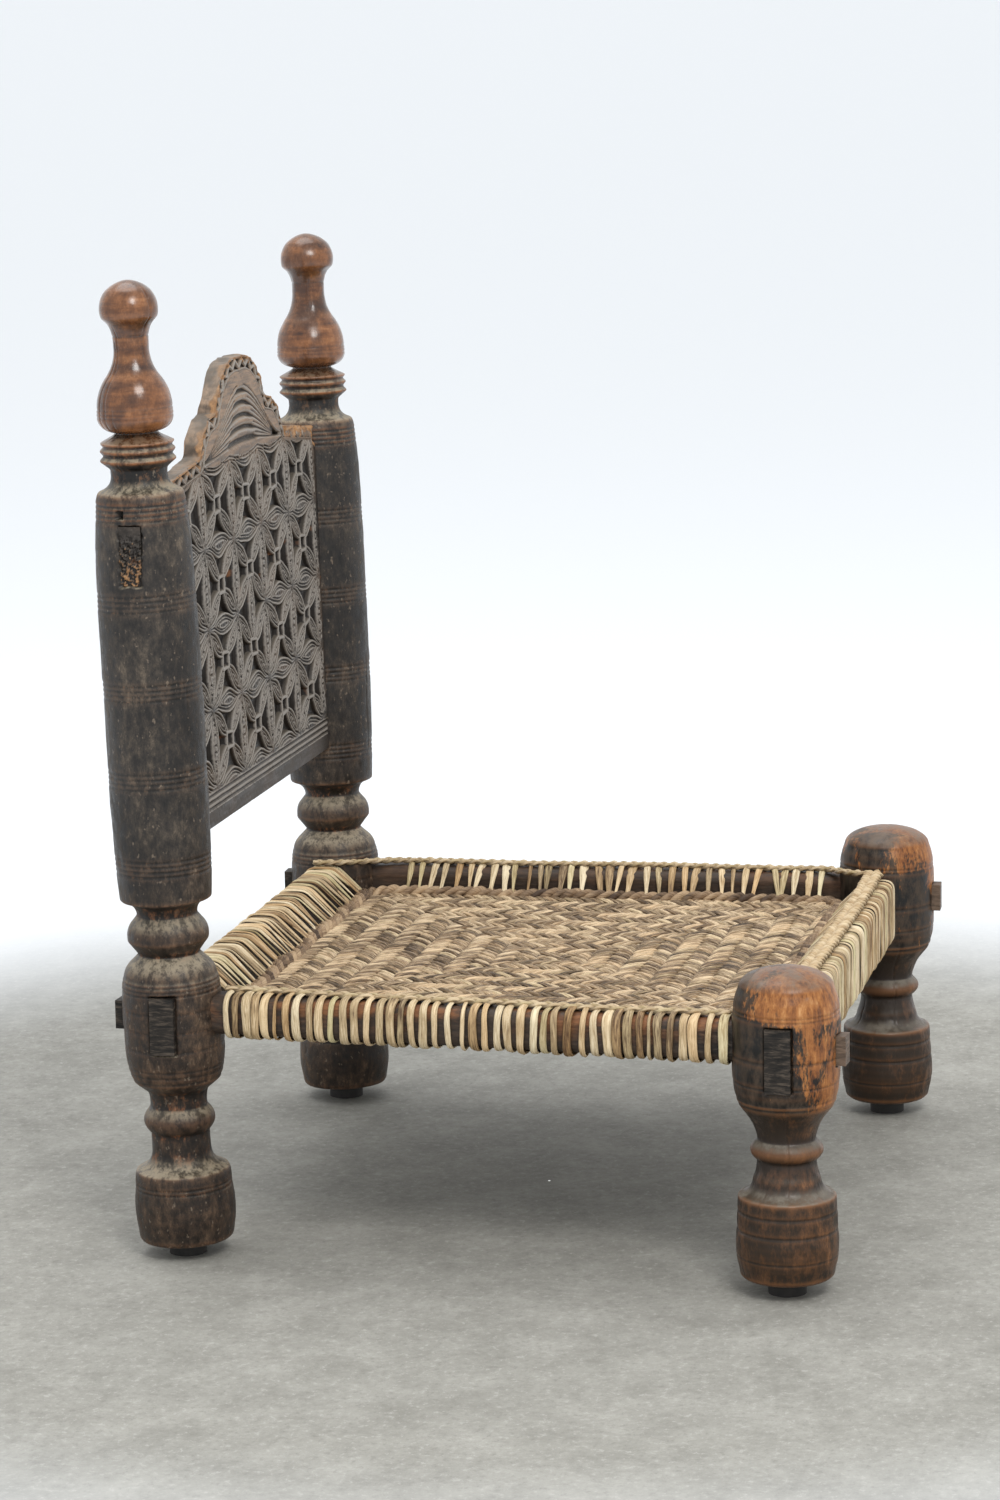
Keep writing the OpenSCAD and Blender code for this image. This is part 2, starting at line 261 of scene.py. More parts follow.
class Material:
    """A node material built with short calls."""

    def __init__(self, name):
        self.material = bpy.data.materials.new(name)
        self.material.use_nodes = True
        self.tree = self.material.node_tree
        self.shader = self.tree.nodes["Principled BSDF"]
        self.place = self.node("ShaderNodeTexCoord").outputs["Object"]

    def node(self, kind, inputs=None, **settings):
        made = self.tree.nodes.new(kind)
        for key, value in settings.items():
            setattr(made, key, value)
        for key, value in (inputs or {}).items():
            self.feed(made.inputs[key], value)
        return made

    def feed(self, socket, value):
        if isinstance(value, bpy.types.NodeSocket):
            self.tree.links.new(value, socket)
        elif socket.type == "RGBA":
            socket.default_value = (*np.broadcast_to(value, 3), 1)
        else:
            socket.default_value = value

    def noise(self, vector, scale=1.0, detail=4.0, rough=0.55, warp=0.0):
        inputs = {"Vector": vector, "Scale": scale, "Detail": detail, "Roughness": rough, "Distortion": warp}
        return self.node("ShaderNodeTexNoise", inputs).outputs["Fac"]

    def cells(self, x, y, z, detail=4.0, rough=0.55, warp=0.0):
        """Noise with about x, y and z cycles a metre along the object's axes."""
        spread = self.node("ShaderNodeMapping", {"Vector": self.place, "Scale": (x, y, z)}).outputs[0]
        return self.noise(spread, 1.0, detail, rough, warp)

    def value(self, name):
        """A value stored on the mesh's points."""
        return self.node("ShaderNodeAttribute", attribute_name=name).outputs["Fac"]

    def maths(self, operation, a, b=0.5):
        return self.node("ShaderNodeMath", {0: a, 1: b}, operation=operation).outputs[0]

    def times(self, a, b):
        return self.maths("MULTIPLY", a, b)

    def plus(self, a, b):
        return self.maths("ADD", a, b)

    def weighed(self, a, share_a, b, share_b):
        """Two values added, each by its share."""
        return self.plus(self.times(a, share_a), self.times(b, share_b))

    def centred(self, source, strength):
        """Noise moved to lie about zero, times strength."""
        return self.times(self.maths("SUBTRACT", source, 0.5), strength)

    def ranged(self, source, low, high, to_low=0.0, to_high=1.0):
        """source mapped smoothly from low..high to to_low..to_high."""
        inputs = {"Value": source, "From Min": low, "From Max": high, "To Min": to_low, "To Max": to_high}
        return self.node("ShaderNodeMapRange", inputs, interpolation_type="SMOOTHSTEP").outputs["Result"]

    def ramp(self, source, *stops):
        """Colours by place, given as (place, (r, g, b))."""
        made = self.node("ShaderNodeValToRGB", {"Fac": source})
        ramp = made.color_ramp
        while len(ramp.elements) < len(stops):
            ramp.elements.new(1.0)
        for element, (at, colour) in zip(ramp.elements, stops):
            element.position = at
            element.color = (*colour, 1)
        return made.outputs["Color"]

    def mix(self, amount, a, b, blend="MIX"):
        made = self.node("ShaderNodeMix", {0: amount, 6: a, 7: b}, data_type="RGBA", blend_type=blend)
        return made.outputs[2]

    def bump(self, height, strength, distance, before=None):
        inputs = {"Height": height, "Strength": strength, "Distance": distance}
        if before is not None:
            inputs["Normal"] = before
        return self.node("ShaderNodeBump", inputs).outputs["Normal"]

    def upward(self):
        """How far the surface faces up, from -1 to 1."""
        normal = self.node("ShaderNodeNewGeometry").outputs["Normal"]
        return self.node("ShaderNodeSeparateXYZ", {"Vector": normal}).outputs["Z"]

    def at(self, axis):
        """Place along one axis, in metres."""
        return self.node("ShaderNodeSeparateXYZ", {"Vector": self.place}).outputs[axis]

    def out(self, axis):
        """Distance from the chair's middle along one axis, in metres."""
        return self.maths("ABSOLUTE", self.at(axis))

    def finish(self, colour, rough, normal=None, **fixed):
        self.feed(self.shader.inputs["Base Color"], colour)
        self.feed(self.shader.inputs["Roughness"], rough)
        if normal is not None:
            self.feed(self.shader.inputs["Normal"], normal)
        for key, value in fixed.items():
            self.shader.inputs[key.replace("_", " ")].default_value = value
        return self.material


# ---- Wood, rubber and steel. Heights and places are in metres, colours are linear. ----

NEAR_BLACK = (0.003, 0.0025, 0.002)
GAP_DIRT = (0.006, 0.005, 0.004)
FINIAL_Z = (0.600, 0.628)
LEG_BODY_Z = (0.139, 0.146)


def wood_grain(m, across, along):
    """Fine fibres that run up a standing piece."""
    return m.cells(across, across, along, detail=6.0, rough=0.65, warp=0.4)


def back_post_wood():
    """Charcoal barrels, glossy brown finials, worn brown edges and grooves, dust in the hollows; the dust on
    up-facing shoulders is pale enough to paint a highlight there as well.
    """
    m = Material("back_post_wood")
    grain = wood_grain(m, 260, 9)
    blotch = m.cells(26, 26, 16, detail=5.0, rough=0.6)
    mottle = m.cells(150, 150, 85, detail=9.0, rough=0.78)
    speck = m.cells(420, 420, 420, detail=3.0)
    tone = m.weighed(mottle, 0.7, blotch, 0.3)
    dark = m.ramp(tone, (0.36, NEAR_BLACK), (0.47, (0.016, 0.013, 0.011)),
                  (0.55, (0.040, 0.032, 0.025)), (0.66, (0.125, 0.098, 0.072)))
    rings = m.cells(24, 24, 150, detail=5.0, rough=0.6)
    warm = m.ramp(m.weighed(rings, 0.55, mottle, 0.45),
                  (0.34, (0.028, 0.008, 0.0025)), (0.46, (0.098, 0.033, 0.009)),
                  (0.56, (0.195, 0.073, 0.022)), (0.70, (0.37, 0.168, 0.064)))
    warm = m.mix(m.ranged(blotch, 0.50, 0.60, 0.0, 0.65), warm, (0.040, 0.014, 0.006))
    finial = m.ranged(m.at("Z"), *FINIAL_Z)
    colour = m.mix(finial, dark, warm)
    top_band = m.ranged(m.at("Z"), 0.535, 0.565)
    worn = m.times(m.value("worn"), m.ranged(mottle, 0.40, 0.58, 0.25, 1.0))
    colour = m.mix(worn, colour, m.mix(top_band, (0.125, 0.078, 0.050), (0.23, 0.090, 0.032)))
    low = m.times(m.value("groove"), m.ranged(speck, 0.35, 0.65, 0.3, 1.0))
    line = m.mix(m.ranged(mottle, 0.50, 0.60), (0.003, 0.002, 0.0015), (0.15, 0.068, 0.030))
    colour = m.mix(m.times(low, 0.9), colour, m.mix(finial, line, (0.018, 0.008, 0.004)))
    # Dust on up-facing surfaces, kept off the finials; its pale colour also paints a highlight on the
    # shoulders.
    dust = m.times(m.ranged(m.upward(), 0.12, 0.85), m.ranged(finial, 0.0, 1.0, 0.8, 0.05))
    dust = m.times(dust, m.ranged(mottle, 0.42, 0.56, 0.2, 1.0))
    browner = m.mix(1.0, colour, (1.5, 1.05, 0.72), "MULTIPLY")
    colour = m.mix(m.ranged(m.at("Z"), 0.34, 0.20, 0.0, 0.55), colour, browner)
    # Pale dust, partly a painted highlight.
    colour = m.mix(dust, colour, (0.33, 0.28, 0.20))
    fleck = m.ranged(m.cells(330, 330, 210, detail=2.0), 0.64, 0.74, 0.0, 0.45)
    colour = m.mix(m.times(fleck, m.ranged(finial, 0.0, 1.0, 1.0, 0.0)), colour, (0.26, 0.20, 0.145))
    colour = m.mix(m.value("dirt"), colour, GAP_DIRT)
    rough = m.mix(finial, m.ranged(mottle, 0.4, 0.6, 0.34, 0.62), m.ranged(mottle, 0.4, 0.6, 0.16, 0.30))
    normal = m.bump(grain, 0.3, 0.0005)
    normal = m.bump(mottle, m.ranged(finial, 0.0, 1.0, 0.5, 0.12), 0.0010, normal)
    m.feed(m.shader.inputs["Coat Weight"], m.ranged(finial, 0.0, 1.0, 0.0, 0.5))
    return m.finish(colour, rough, normal, Specular_IOR_Level=0.34, Coat_Roughness=0.25)


def front_leg_wood():
    """Orange-brown wood under black patina patches, grey dusty caps and shoulders."""
    m = Material("front_leg_wood")
    grain = wood_grain(m, 300, 10)
    patch = m.cells(24, 24, 11, detail=6.0, rough=0.62, warp=0.8)
    speck = m.cells(500, 500, 160, detail=3.0, rough=0.7)
    mottle = m.cells(130, 130, 60, detail=8.0, rough=0.75)
    bare = m.ramp(m.weighed(mottle, 0.6, grain, 0.4),
                  (0.38, (0.060, 0.018, 0.005)), (0.48, (0.23, 0.080, 0.019)), (0.56, (0.36, 0.145, 0.038)),
                  (0.66, (0.54, 0.28, 0.11)))
    tar = m.ramp(mottle, (0.42, NEAR_BLACK), (0.6, (0.050, 0.034, 0.022)))
    body = m.ranged(m.at("Z"), *LEG_BODY_Z)
    cover = m.plus(patch, m.centred(speck, 0.28))
    seatward = m.ranged(m.at("Y"), -0.262, -0.205)
    cover = m.plus(cover, m.maths("SUBTRACT", m.times(seatward, 0.15), 0.035))
    inward = m.ranged(m.out("X"), 0.255, 0.228, 0.0, 0.14)
    cover = m.maths("SUBTRACT", m.plus(cover, inward), m.ranged(m.at("Z"), 0.205, 0.212, 0.0, 0.12))
    black = m.ranged(cover, 0.455, 0.53)
    foot = m.ramp(m.weighed(mottle, 0.6, cover, 0.4),
                  (0.36, (0.20, 0.090, 0.036)), (0.44, (0.088, 0.040, 0.017)), (0.54, (0.022, 0.013, 0.007)))
    colour = m.mix(body, foot, m.mix(black, bare, tar))
    colour = m.mix(m.times(m.value("worn"), 0.6), colour, (0.30, 0.125, 0.045))
    colour = m.mix(m.times(m.value("groove"), 0.85), colour, (0.022, 0.014, 0.010))
    dust = m.ranged(m.upward(), 0.22, 0.8)
    dust = m.times(dust, m.ranged(m.cells(50, 50, 50), 0.3, 0.68, 0.45, 0.95))
    dust = m.times(dust, m.ranged(mottle, 0.40, 0.58, 0.5, 1.0))
    colour = m.mix(dust, colour, m.mix(body, (0.19, 0.165, 0.13), (0.135, 0.100, 0.075)))
    colour = m.mix(m.value("dirt"), colour, GAP_DIRT)
    rough = m.mix(black, m.ranged(grain, 0.3, 0.7, 0.30, 0.46), m.ranged(mottle, 0.4, 0.6, 0.34, 0.6))
    normal = m.bump(grain, 0.4, 0.0005)
    normal = m.bump(cover, 0.4, 0.0009, normal)
    return m.finish(colour, rough, normal, Specular_IOR_Level=0.36)


def rail_wood():
    """Dark aged bars, orange-brown where hands rub them."""
    m = Material("rail_wood")
    grain = m.cells(70, 70, 420, detail=6.0, rough=0.65, warp=0.3)
    patch = m.cells(26, 26, 60, detail=5.0, rough=0.6)
    dark = m.ramp(grain, (0.3, (0.018, 0.013, 0.010)), (0.7, (0.065, 0.042, 0.028)))
    warm = m.ramp(grain, (0.3, (0.12, 0.045, 0.018)), (0.7, (0.30, 0.125, 0.045)))
    high = m.ranged(m.at("Z"), 0.178, 0.200)
    rubbed = m.times(m.ranged(patch, 0.42, 0.58), high)
    rubbed = m.times(rubbed, m.ranged(m.out("X"), 0.238, 0.252, 0.12, 0.85))
    colour = m.mix(rubbed, dark, warm)
    end = m.maths("MAXIMUM", m.ranged(m.out("X"), 0.267, 0.270), m.ranged(m.out("Y"), 0.254, 0.258))
    end_grain = m.ramp(grain, (0.36, NEAR_BLACK), (0.50, (0.018, 0.014, 0.011)),
                       (0.66, (0.085, 0.066, 0.050)))
    colour = m.mix(end, colour, end_grain)
    front_end = m.times(m.ranged(m.at("Y"), -0.252, -0.257), m.ranged(grain, 0.38, 0.58, 0.45, 0.9))
    colour = m.mix(front_end, colour, (0.17, 0.115, 0.080))
    rough = m.ranged(patch, 0.3, 0.7, 0.45, 0.65)
    normal = m.bump(grain, 0.6, 0.0010)
    return m.finish(colour, rough, normal, Specular_IOR_Level=0.3)


def glide_rubber():
    """Scuffed black rubber."""
    m = Material("glide_rubber")
    pits = m.cells(700, 700, 700, detail=3.0)
    dirt = m.cells(90, 90, 60, detail=4.0)
    colour = m.ramp(dirt, (0.35, (0.008, 0.008, 0.008)), (0.7, (0.035, 0.031, 0.028)))
    return m.finish(colour, m.ranged(dirt, 0.3, 0.7, 0.55, 0.75), m.bump(pits, 0.3, 0.0003))


def nail_steel():
    """Steel with spots of rust."""
    m = Material("nail_steel")
    rust = m.cells(500, 500, 500, detail=4.0)
    colour = m.ramp(rust, (0.4, (0.30, 0.29, 0.28)), (0.62, (0.11, 0.05, 0.03)))
    return m.finish(colour, m.ranged(rust, 0.4, 0.62, 0.35, 0.8), m.bump(rust, 0.3, 0.0002), Metallic=0.9)


# ---- Turned posts and legs ----

LEG_SIDES = 192
RING_POINTS = 12
FOOT_Z = 12.6
NAIL_RADIUS = 4.2
BORE_RADIUS = 12
CRACKS = 9
# Half width of the front and back rails' tenons, and half width, lowest and highest of the side rails'
BOARD_TENON, SIDE_TENON = 9.25, (7.5, 173.0, 194.5)
# The peg hole in the sitter's right post: its middle and half its size
PEG_Y, PEG_Z, PEG_HALF_Y, PEG_HALF_Z = 22.5, 563.8, 2.6, 2.9
MORTISE_DEPTH, PEG_DEPTH = 3.6, 7.0
# The end of the panel's tenon in the posts: its middle, lowest and highest point, and half its width
TENON_Z, TENON_LOW, TENON_HIGH, TENON_HALF = 534, 511.5, 556.5, 9.2
# Height and depth of each scored line
BACK_SCORES = {138: 0.4, 143: 0.4, 147.5: 0.4, 205.6: 0.5, 634: 0.4, 636.6: 0.4, 639.4: 0.4, 692: 0.4}
FRONT_SCORES = {30: 0.4, 143.6: 0.4, 160: 0.35}


def axis_frame(side, back):
    """Foot of a leg and the turn that leans it, as the CAD has them. side is -1 or 1."""
    if not back:
        return np.array([side * FRONT_X, FRONT_Y, 0]), np.eye(3)
    c, s = math.cos(LEAN), -math.sin(LEAN)
    turn_x = np.array([[1, 0, 0], [0, c, -s], [0, s, c]])
    c, s = math.cos(SPLAY), side * math.sin(SPLAY)
    turn_y = np.array([[c, 0, s], [0, 1, 0], [-s, 0, c]])
    return np.array([side * BACK_X, BACK_Y, 0]), turn_y @ turn_x


def turned_profile(node, foot, turn):
    """Radius and height of each turned ring of a CAD node, from the rings' own points."""
    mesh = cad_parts[node].data
    points = np.zeros(len(mesh.vertices) * 3, np.float32)
    mesh.vertices.foreach_get("co", points)
    local = (points.reshape(-1, 3) / MM - foot) @ turn
    rings = {}
    for r, z in zip(np.hypot(local[:, 0], local[:, 1]), local[:, 2]):
        rings.setdefault((round(float(z), 1), round(float(r), 1)), []).append((r, z))
    kept = [np.mean(ring, axis=0) for ring in rings.values() if len(ring) >= RING_POINTS]
    return np.array(sorted(kept, key=lambda p: (p[1], -p[0])))


def leg_profile(node, foot, turn):
    """Radius and height along a leg, evenly spaced from the middle of its foot to its tip."""
    profile = turned_profile(node, foot, turn)
    profile = profile[(profile[:, 0] > BORE_RADIUS) | (profile[:, 1] > 200)]
    under = [[NAIL_RADIUS, FOOT_Z], [profile[0, 0] - 1, FOOT_Z]]
    profile = np.concatenate([under, profile[1:], [[0.01, profile[-1, 1]]]])
    profile = resample(profile, 0.85)
    return rounded(profile[:, 0], 1), rounded(profile[:, 1], 1)


def mortises(side, back):
    """The tenons that come out of a leg: a point on each, its direction, half width, lowest and highest."""
    across = "back" if back else "front"
    middle, _, along = rail_spots("left" if side > 0 else "right")
    return [(rail_spots(across)[0], np.array([side, 0.0]), BOARD_TENON, *RAIL_SIZES[across][1:3]),
            (middle, along if back else -along, *SIDE_TENON)]


def scored(height, scores):
    """Depth of thin lines cut into a turned piece."""
    return sum(cut * notch(height - at, 0.75) for at, cut in scores.items())


def dents(points, count, rng):
    """Depth of small knocks scattered over a surface."""
    depth = np.zeros(len(points))
    for _ in range(count):
        spot = points[rng.integers(len(points))]
        reach, deep = rng.uniform(1.2, 4.5), rng.uniform(0.15, 0.7)
        stretch = np.array([1, 1, rng.uniform(0.1, 1)])
        depth += deep * np.exp(-((points - spot) ** 2 @ stretch) / reach ** 2)
    return depth


def drying_cracks(angle, height, radius, top, rng):
    """Depth of fine cracks that run up a leg."""
    depth = np.zeros(len(angle))
    for _ in range(CRACKS):
        start, length, at = rng.uniform(20, top - 40), rng.uniform(25, 90), rng.uniform(0, TURN)
        wander = at + 0.03 * np.sin(height / 9 + at)
        off = np.angle(np.exp(1j * (angle - wander))) * radius
        fade = smooth_step(0, 12, height - start) * smooth_step(0, 12, start + length - height)
        depth += 0.8 * fade * np.exp(-(off / 0.6) ** 2)
    return depth


def tenon_gaps(placed, foot, side, back):
    """Where the dark gaps lie round the tenons that come out of a leg."""
    gaps = np.zeros(len(placed))
    for middle, way, half, bottom, top in mortises(side, back):
        flat = placed[:, :2] - middle
        across = np.abs(flat[:, 0] * way[1] - flat[:, 1] * way[0])
        outside = np.maximum(across - half, np.maximum(bottom - placed[:, 2], placed[:, 2] - top))
        facing = (placed[:, :2] - foot[:2]) @ way > 5
        gaps += facing * smooth_step(-2.0, -0.5, outside) * (1 - smooth_step(0.5, 1.4, outside))
    return gaps


def panel_mortise(placed, foot, side, seed):
    """Where the end of the panel's tenon is sunk in a post, and the peg hole in the sitter's right post."""
    facing = side * (placed[:, 0] - foot[0]) > 10
    y, z = placed[:, 1] - BACK_Y, placed[:, 2]
    wall = np.abs(y - TENON_Z * math.tan(LEAN)) - TENON_HALF
    wall = np.maximum(wall, np.maximum(TENON_LOW - z, z - TENON_HIGH))
    sunk = facing * (1 - smooth_step(-1.0, 0.4, wall + 0.5 * waves(placed, 9, seed + 5, 2)))
    hole = np.maximum(np.abs(y - PEG_Y) - PEG_HALF_Y, np.abs(z - PEG_Z) - PEG_HALF_Z)
    pegged = facing * (side < 0)
    depth = MORTISE_DEPTH * sunk + PEG_DEPTH * pegged * (1 - smooth_step(-0.6, 0.2, hole))
    return depth, np.maximum(sunk, pegged * (1 - smooth_step(-0.4, 0.6, hole)))


def turned_piece(node, side, back, material, seed):
    """A hand-turned leg on the CAD's profile, with wobble, dents, cracks and gaps round its tenons."""
    foot, turn = axis_frame(side, back)
    radius, height = leg_profile(node, foot, turn)
    radius = radius - scored(height, BACK_SCORES if back else FRONT_SCORES)
    groove = np.clip((rounded(radius, 4) - radius) / 0.45, 0, 1) * (radius > BORE_RADIUS)
    worn = np.clip((radius - rounded(radius, 2)) / 0.4, 0, 1)
    r, a = np.meshgrid(radius, circle(LEG_SIDES), indexing="ij")
    r, a, z = r.ravel(), a.ravel(), np.repeat(height, LEG_SIDES)
    ring = points_at(r * np.cos(a), r * np.sin(a), z)
    rng = np.random.default_rng(seed)
    depth = 0.16 * waves(ring, 90, seed, 2) + 0.07 * waves(ring, 14, seed + 1, 2)
    depth += dents(ring, 70 if back else 40, rng)
    depth += drying_cracks(a, z, r, height[-1], rng)
    depth *= smooth_step(3, 12, r)
    placed = ring @ turn.T + foot
    dirt = tenon_gaps(placed, foot, side, back)
    depth += 2.6 * dirt
    if back:
        sunk, dark = panel_mortise(placed, foot, side, seed)
        depth += sunk
        dirt = np.maximum(dirt, dark)
    ring[:, :2] *= np.where(r > 1, (r - depth) / np.maximum(r, 1), 1)[:, None]
    placed = (ring @ turn.T + foot).reshape(len(radius), LEG_SIDES, 3)
    shape = Shape()
    tube(shape, placed, groove=groove, worn=worn, dirt=dirt.reshape(len(radius), LEG_SIDES))
    return shape.build(node + "_turned", material, [node])


# ---- Carved back panel ----

PANEL_FRONT = -9.0
PANEL_BACK = 8.0
PANEL_HALF = 208
PANEL_LOW = 307.0
SHOULDER_Z = 566
ARCH_TOP = 653
PANEL_STEP = 0.62
# The lattice: half the spacing of its columns and rows of rosettes, and the lowest row
CELL_X = 39.25
CELL_Z = 30.5
ROW_Z = 333.5
# The lattice's lowest and highest point and its half width, and the scored lines under it
LATTICE_LOW, LATTICE_TOP, LATTICE_HALF = 334.5, 576.5, 197.0
FOOT_LINES = (321.2, 326.0, 330.6)
# Width of the chip-cut border, depth of a pocket and of the deepest cut
BORDER = 12.2
POCKET_DEPTH = 5.2
DEEPEST = 7.5
# Stands for "far outside a leaf"
BARE = -20.0
# Each crescent under the arch: its share of the arch's height, and half its width
CRESCENTS = ((0.18, 47), (0.36, 41), (0.54, 36), (0.72, 29), (0.89, 20))


def bowed(start, end, bulge, count):
    """Points from start to end on a curve that bulges to the left of the way."""
    start, end = np.array(start, float), np.array(end, float)
    t = np.linspace(0, 1, count, endpoint=False)[:, None]
    way = end - start
    side = np.array([-way[1], way[0]]) / np.linalg.norm(way)
    return start + way * t + side * 4 * bulge * t * (1 - t)


def arch_line():
    """The panel's top edge from right to left, as the CAD has it."""
    half = np.concatenate([[[PANEL_HALF, 568], [203, 577], [119, 586]],
                           bowed((115, 588), (86, 613.5), -4, 8), [[86, 613.5]],
                           bowed((70, 616), (0, ARCH_TOP), -13, 16), [[0, ARCH_TOP]]])
    return np.concatenate([half, half[-2::-1] * [-1, 1]])[::-1]


def edge_distance(x, h, line):
    """Distance from the top edge, and how far along it, for points on the panel."""
    best, along_best, passed = np.full(x.shape, 1e9), np.zeros(x.shape), 0.0
    for a, b in zip(line[:-1], line[1:]):
        way = b - a
        size = np.hypot(*way)
        t = np.clip(((x - a[0]) * way[0] + (h - a[1]) * way[1]) / size ** 2, 0, 1)
        away = np.hypot(x - a[0] - t * way[0], h - a[1] - t * way[1])
        closer = away < best
        best = np.where(closer, away, best)
        along_best = np.where(closer, passed + t * size, along_best)
        passed += size
    return best, along_best


def lens(t, half, point=0.85):
    """Half width of a leaf shape at t from 0 to 1 along it."""
    return half * np.sin(math.pi * np.clip(t, 0, 1)) ** point


def notch(distance, width):
    """The profile of a soft groove: 1 at its middle, falling off over its width."""
    return np.exp(-(distance / width) ** 2)


def fold(x, period):
    """Distance to the nearest multiple of a period."""
    x = x % period
    return np.minimum(x, period - x)


def nearest(value, *places):
    """Distance to the nearest of some places."""
    return np.min([np.abs(value - place) for place in places], axis=0)


def carving(x, h):
    """Depth cut below the panel's face, and how much of a pocket it is, at each point."""
    wobble = flat_waves(x, h, 55, 31, 2)
    px, ph = x + 0.8 * wobble, h + 0.8 * flat_waves(x, h, 48, 32, 2)
    p, q = fold(px + CELL_X, 2 * CELL_X), fold(ph - ROW_Z, 2 * CELL_Z)
    diagonal = math.hypot(CELL_X, CELL_Z)
    along, off = (p * CELL_X + q * CELL_Z) / diagonal, np.abs(q * CELL_X - p * CELL_Z) / diagonal
    # One cell has an upright leaf of its own instead of the level ones
    odd_z = ROW_Z + 4 * CELL_Z
    odd = (np.abs(px) < CELL_X) & (np.abs(ph - odd_z) < CELL_Z)
    upright = lens(q / (2 * CELL_Z), 8.0, 1.0) - p
    level = np.maximum(lens((p - 6) / (2 * (CELL_X - 6)), 9.0, 1.15), 1.1 + p * 0.08) - q
    slant = lens(along / 46, 6.6) - off
    single = lens((ph - odd_z + 26) / 50, 8.0) - np.abs(px)
    leaves = np.stack([upright, np.where(odd, BARE, level), slant, np.where(odd, single, BARE)])
    inside, kind = leaves.max(0), leaves.argmax(0)
    # A small square opening, with a bar round it, lies where four rosettes meet
    hole = np.maximum(CELL_X - p - 6, CELL_Z - q - 4.2)
    bar = 1.5 - np.abs(hole - 1.5)
    pocket = np.maximum(smooth_step(0.2, -1.3, np.maximum(inside, bar)), smooth_step(0.8, -0.8, hole))
    face = 1 - pocket
    depth = POCKET_DEPTH * pocket * (0.85 + 0.15 * wobble)
    depth += 2.4 * face * (notch(inside - 2.5, 0.85) + 0.85 * notch(inside - 4.9, 0.65)) * (bar < 0.2)
    heart = np.hypot(p, q)
    rays = 0.5 + 0.5 * np.cos(np.arctan2(q, p) * 24)
    depth += 0.9 * face * smooth_step(15, 6, heart) * smooth_step(1, 4, heart) * rays
    depth += 0.3 * smooth_step(3.9, 4.6, inside) - 0.5 * smooth_step(0, 7, inside)
    dots = np.choose(kind, [np.hypot(p / 2.4, nearest(q, 12.5, 20, 27.8)),
                            np.hypot(nearest(p, CELL_X, CELL_X - 7, CELL_X - 13.5), q),
                            np.hypot(nearest(along, 15, 22.5, 30), off),
                            np.hypot(px / 2.0, np.abs((ph - 5.0) % 8.5 - 4.2))])
    depth += 2.2 * notch(dots, 0.95) * smooth_step(2.5, 4, inside)
    return depth, pocket


def lunette(x, h):
    """Depth of the crescents and the ridges that sweep down from them under the arch."""
    reach = 3 * CELL_X
    out = np.abs(x)
    rise = 54 * (0.5 + 0.5 * np.cos(math.pi * np.clip(x / reach, -1, 1)))
    level = (h - 578.5 - 2.5 * (out / reach)) / np.maximum(rise, 0.5)
    depth = np.zeros_like(x)
    for share, half in CRESCENTS:
        off = (level - share) * rise
        slot = smooth_step(half, half - 14, out)
        depth += 3.2 * slot * notch(off, 1.0 + 1.3 * slot * (0.7 if share > 0.2 else 1.3))
        depth += 1.7 * (1 - slot) * notch(off, 0.75) * smooth_step(reach, reach - 12, out)
        between = notch(off - 0.09 * rise, 0.6) * smooth_step(reach, reach - 25, out)
        depth += 1.2 * between * (out > half - 12)
    scallop = 577.2 - 4.5 * np.sin(math.pi * ((out + CELL_X) % (2 * CELL_X)) / (2 * CELL_X))
    for lift in (0.0, 2.6):
        depth += 1.5 * notch(h - scallop - lift, 0.65)
    return depth


def zigzag(away, along):
    """Depth of the chip-cut border that follows the top edge."""
    tooth = np.abs((along / 9.2) % 2 - 1)
    ridge = 2.6 + 5.6 * tooth
    off = np.abs(away - ridge) / 1.35
    band = smooth_step(1.2, 1.8, away) * smooth_step(9.8, 9.2, away)
    return 3.4 * band * smooth_step(0.9, 1.6, off) + 0.9 * notch(away - 11.2, 0.5)


def panel_depth(x, h, line):
    """Depth of all the carving, where it is a dark pocket and where the wood is worn raw."""
    away, along = edge_distance(x, h, line)
    out = np.abs(x)
    lattice, pocket = carving(x, h)
    top, foot = smooth_step(LATTICE_TOP, LATTICE_TOP + 2, h), smooth_step(LATTICE_LOW, LATTICE_LOW - 1.5, h)
    margin = smooth_step(LATTICE_HALF, LATTICE_HALF + 1.2, out)
    plain = np.maximum(np.maximum(top, foot), margin)
    arch = np.maximum(top, smooth_step(571, 573, h) * 0.8) * (1 - margin)
    depth = lattice * (1 - plain) + lunette(x, h) * arch
    for line_z in FOOT_LINES:
        depth += 1.6 * notch(h - line_z, 0.9)
    notches = notch(((h + 6) % 13) - 6.5, 1.3) * notch(out - 200, 1.6)
    depth += 1.6 * notches * (h > 340) * (h < 560)
    broken = smooth_step(112, 122, x) * smooth_step(14, 6, away)
    border = smooth_step(BORDER, BORDER - 0.6, away)
    depth = depth * (1 - border) + border * zigzag(away, along) * (1 - broken)
    chip = flat_waves(x, h, 16, 41, 3)
    depth += broken * (1.2 + 1.4 * chip) * smooth_step(12, 3, away)
    depth += 0.9 * smooth_step(2.6, 0, away) * (1 + 0.6 * chip)
    depth += 0.10 * flat_waves(x, h, 7, 42, 2)
    raw = smooth_step(5.5, 0.5, away + 2.2 * chip) * (h > 574)
    raw = np.maximum(raw, broken * smooth_step(-0.5, 0.4, chip))
    pocket = pocket * (1 - plain) * (1 - border)
    pocket = np.maximum(pocket, 0.85 * smooth_step(200.5, 203.0, out) * (h < 572))
    return np.clip(depth, 0, DEEPEST), pocket, raw


def panel_place(x, across, h):
    """A point of the upright panel, leaned as the posts are."""
    return points_at(x, BACK_Y + across * math.cos(LEAN) + h * math.sin(LEAN),
                     h * math.cos(LEAN) - across * math.sin(LEAN))


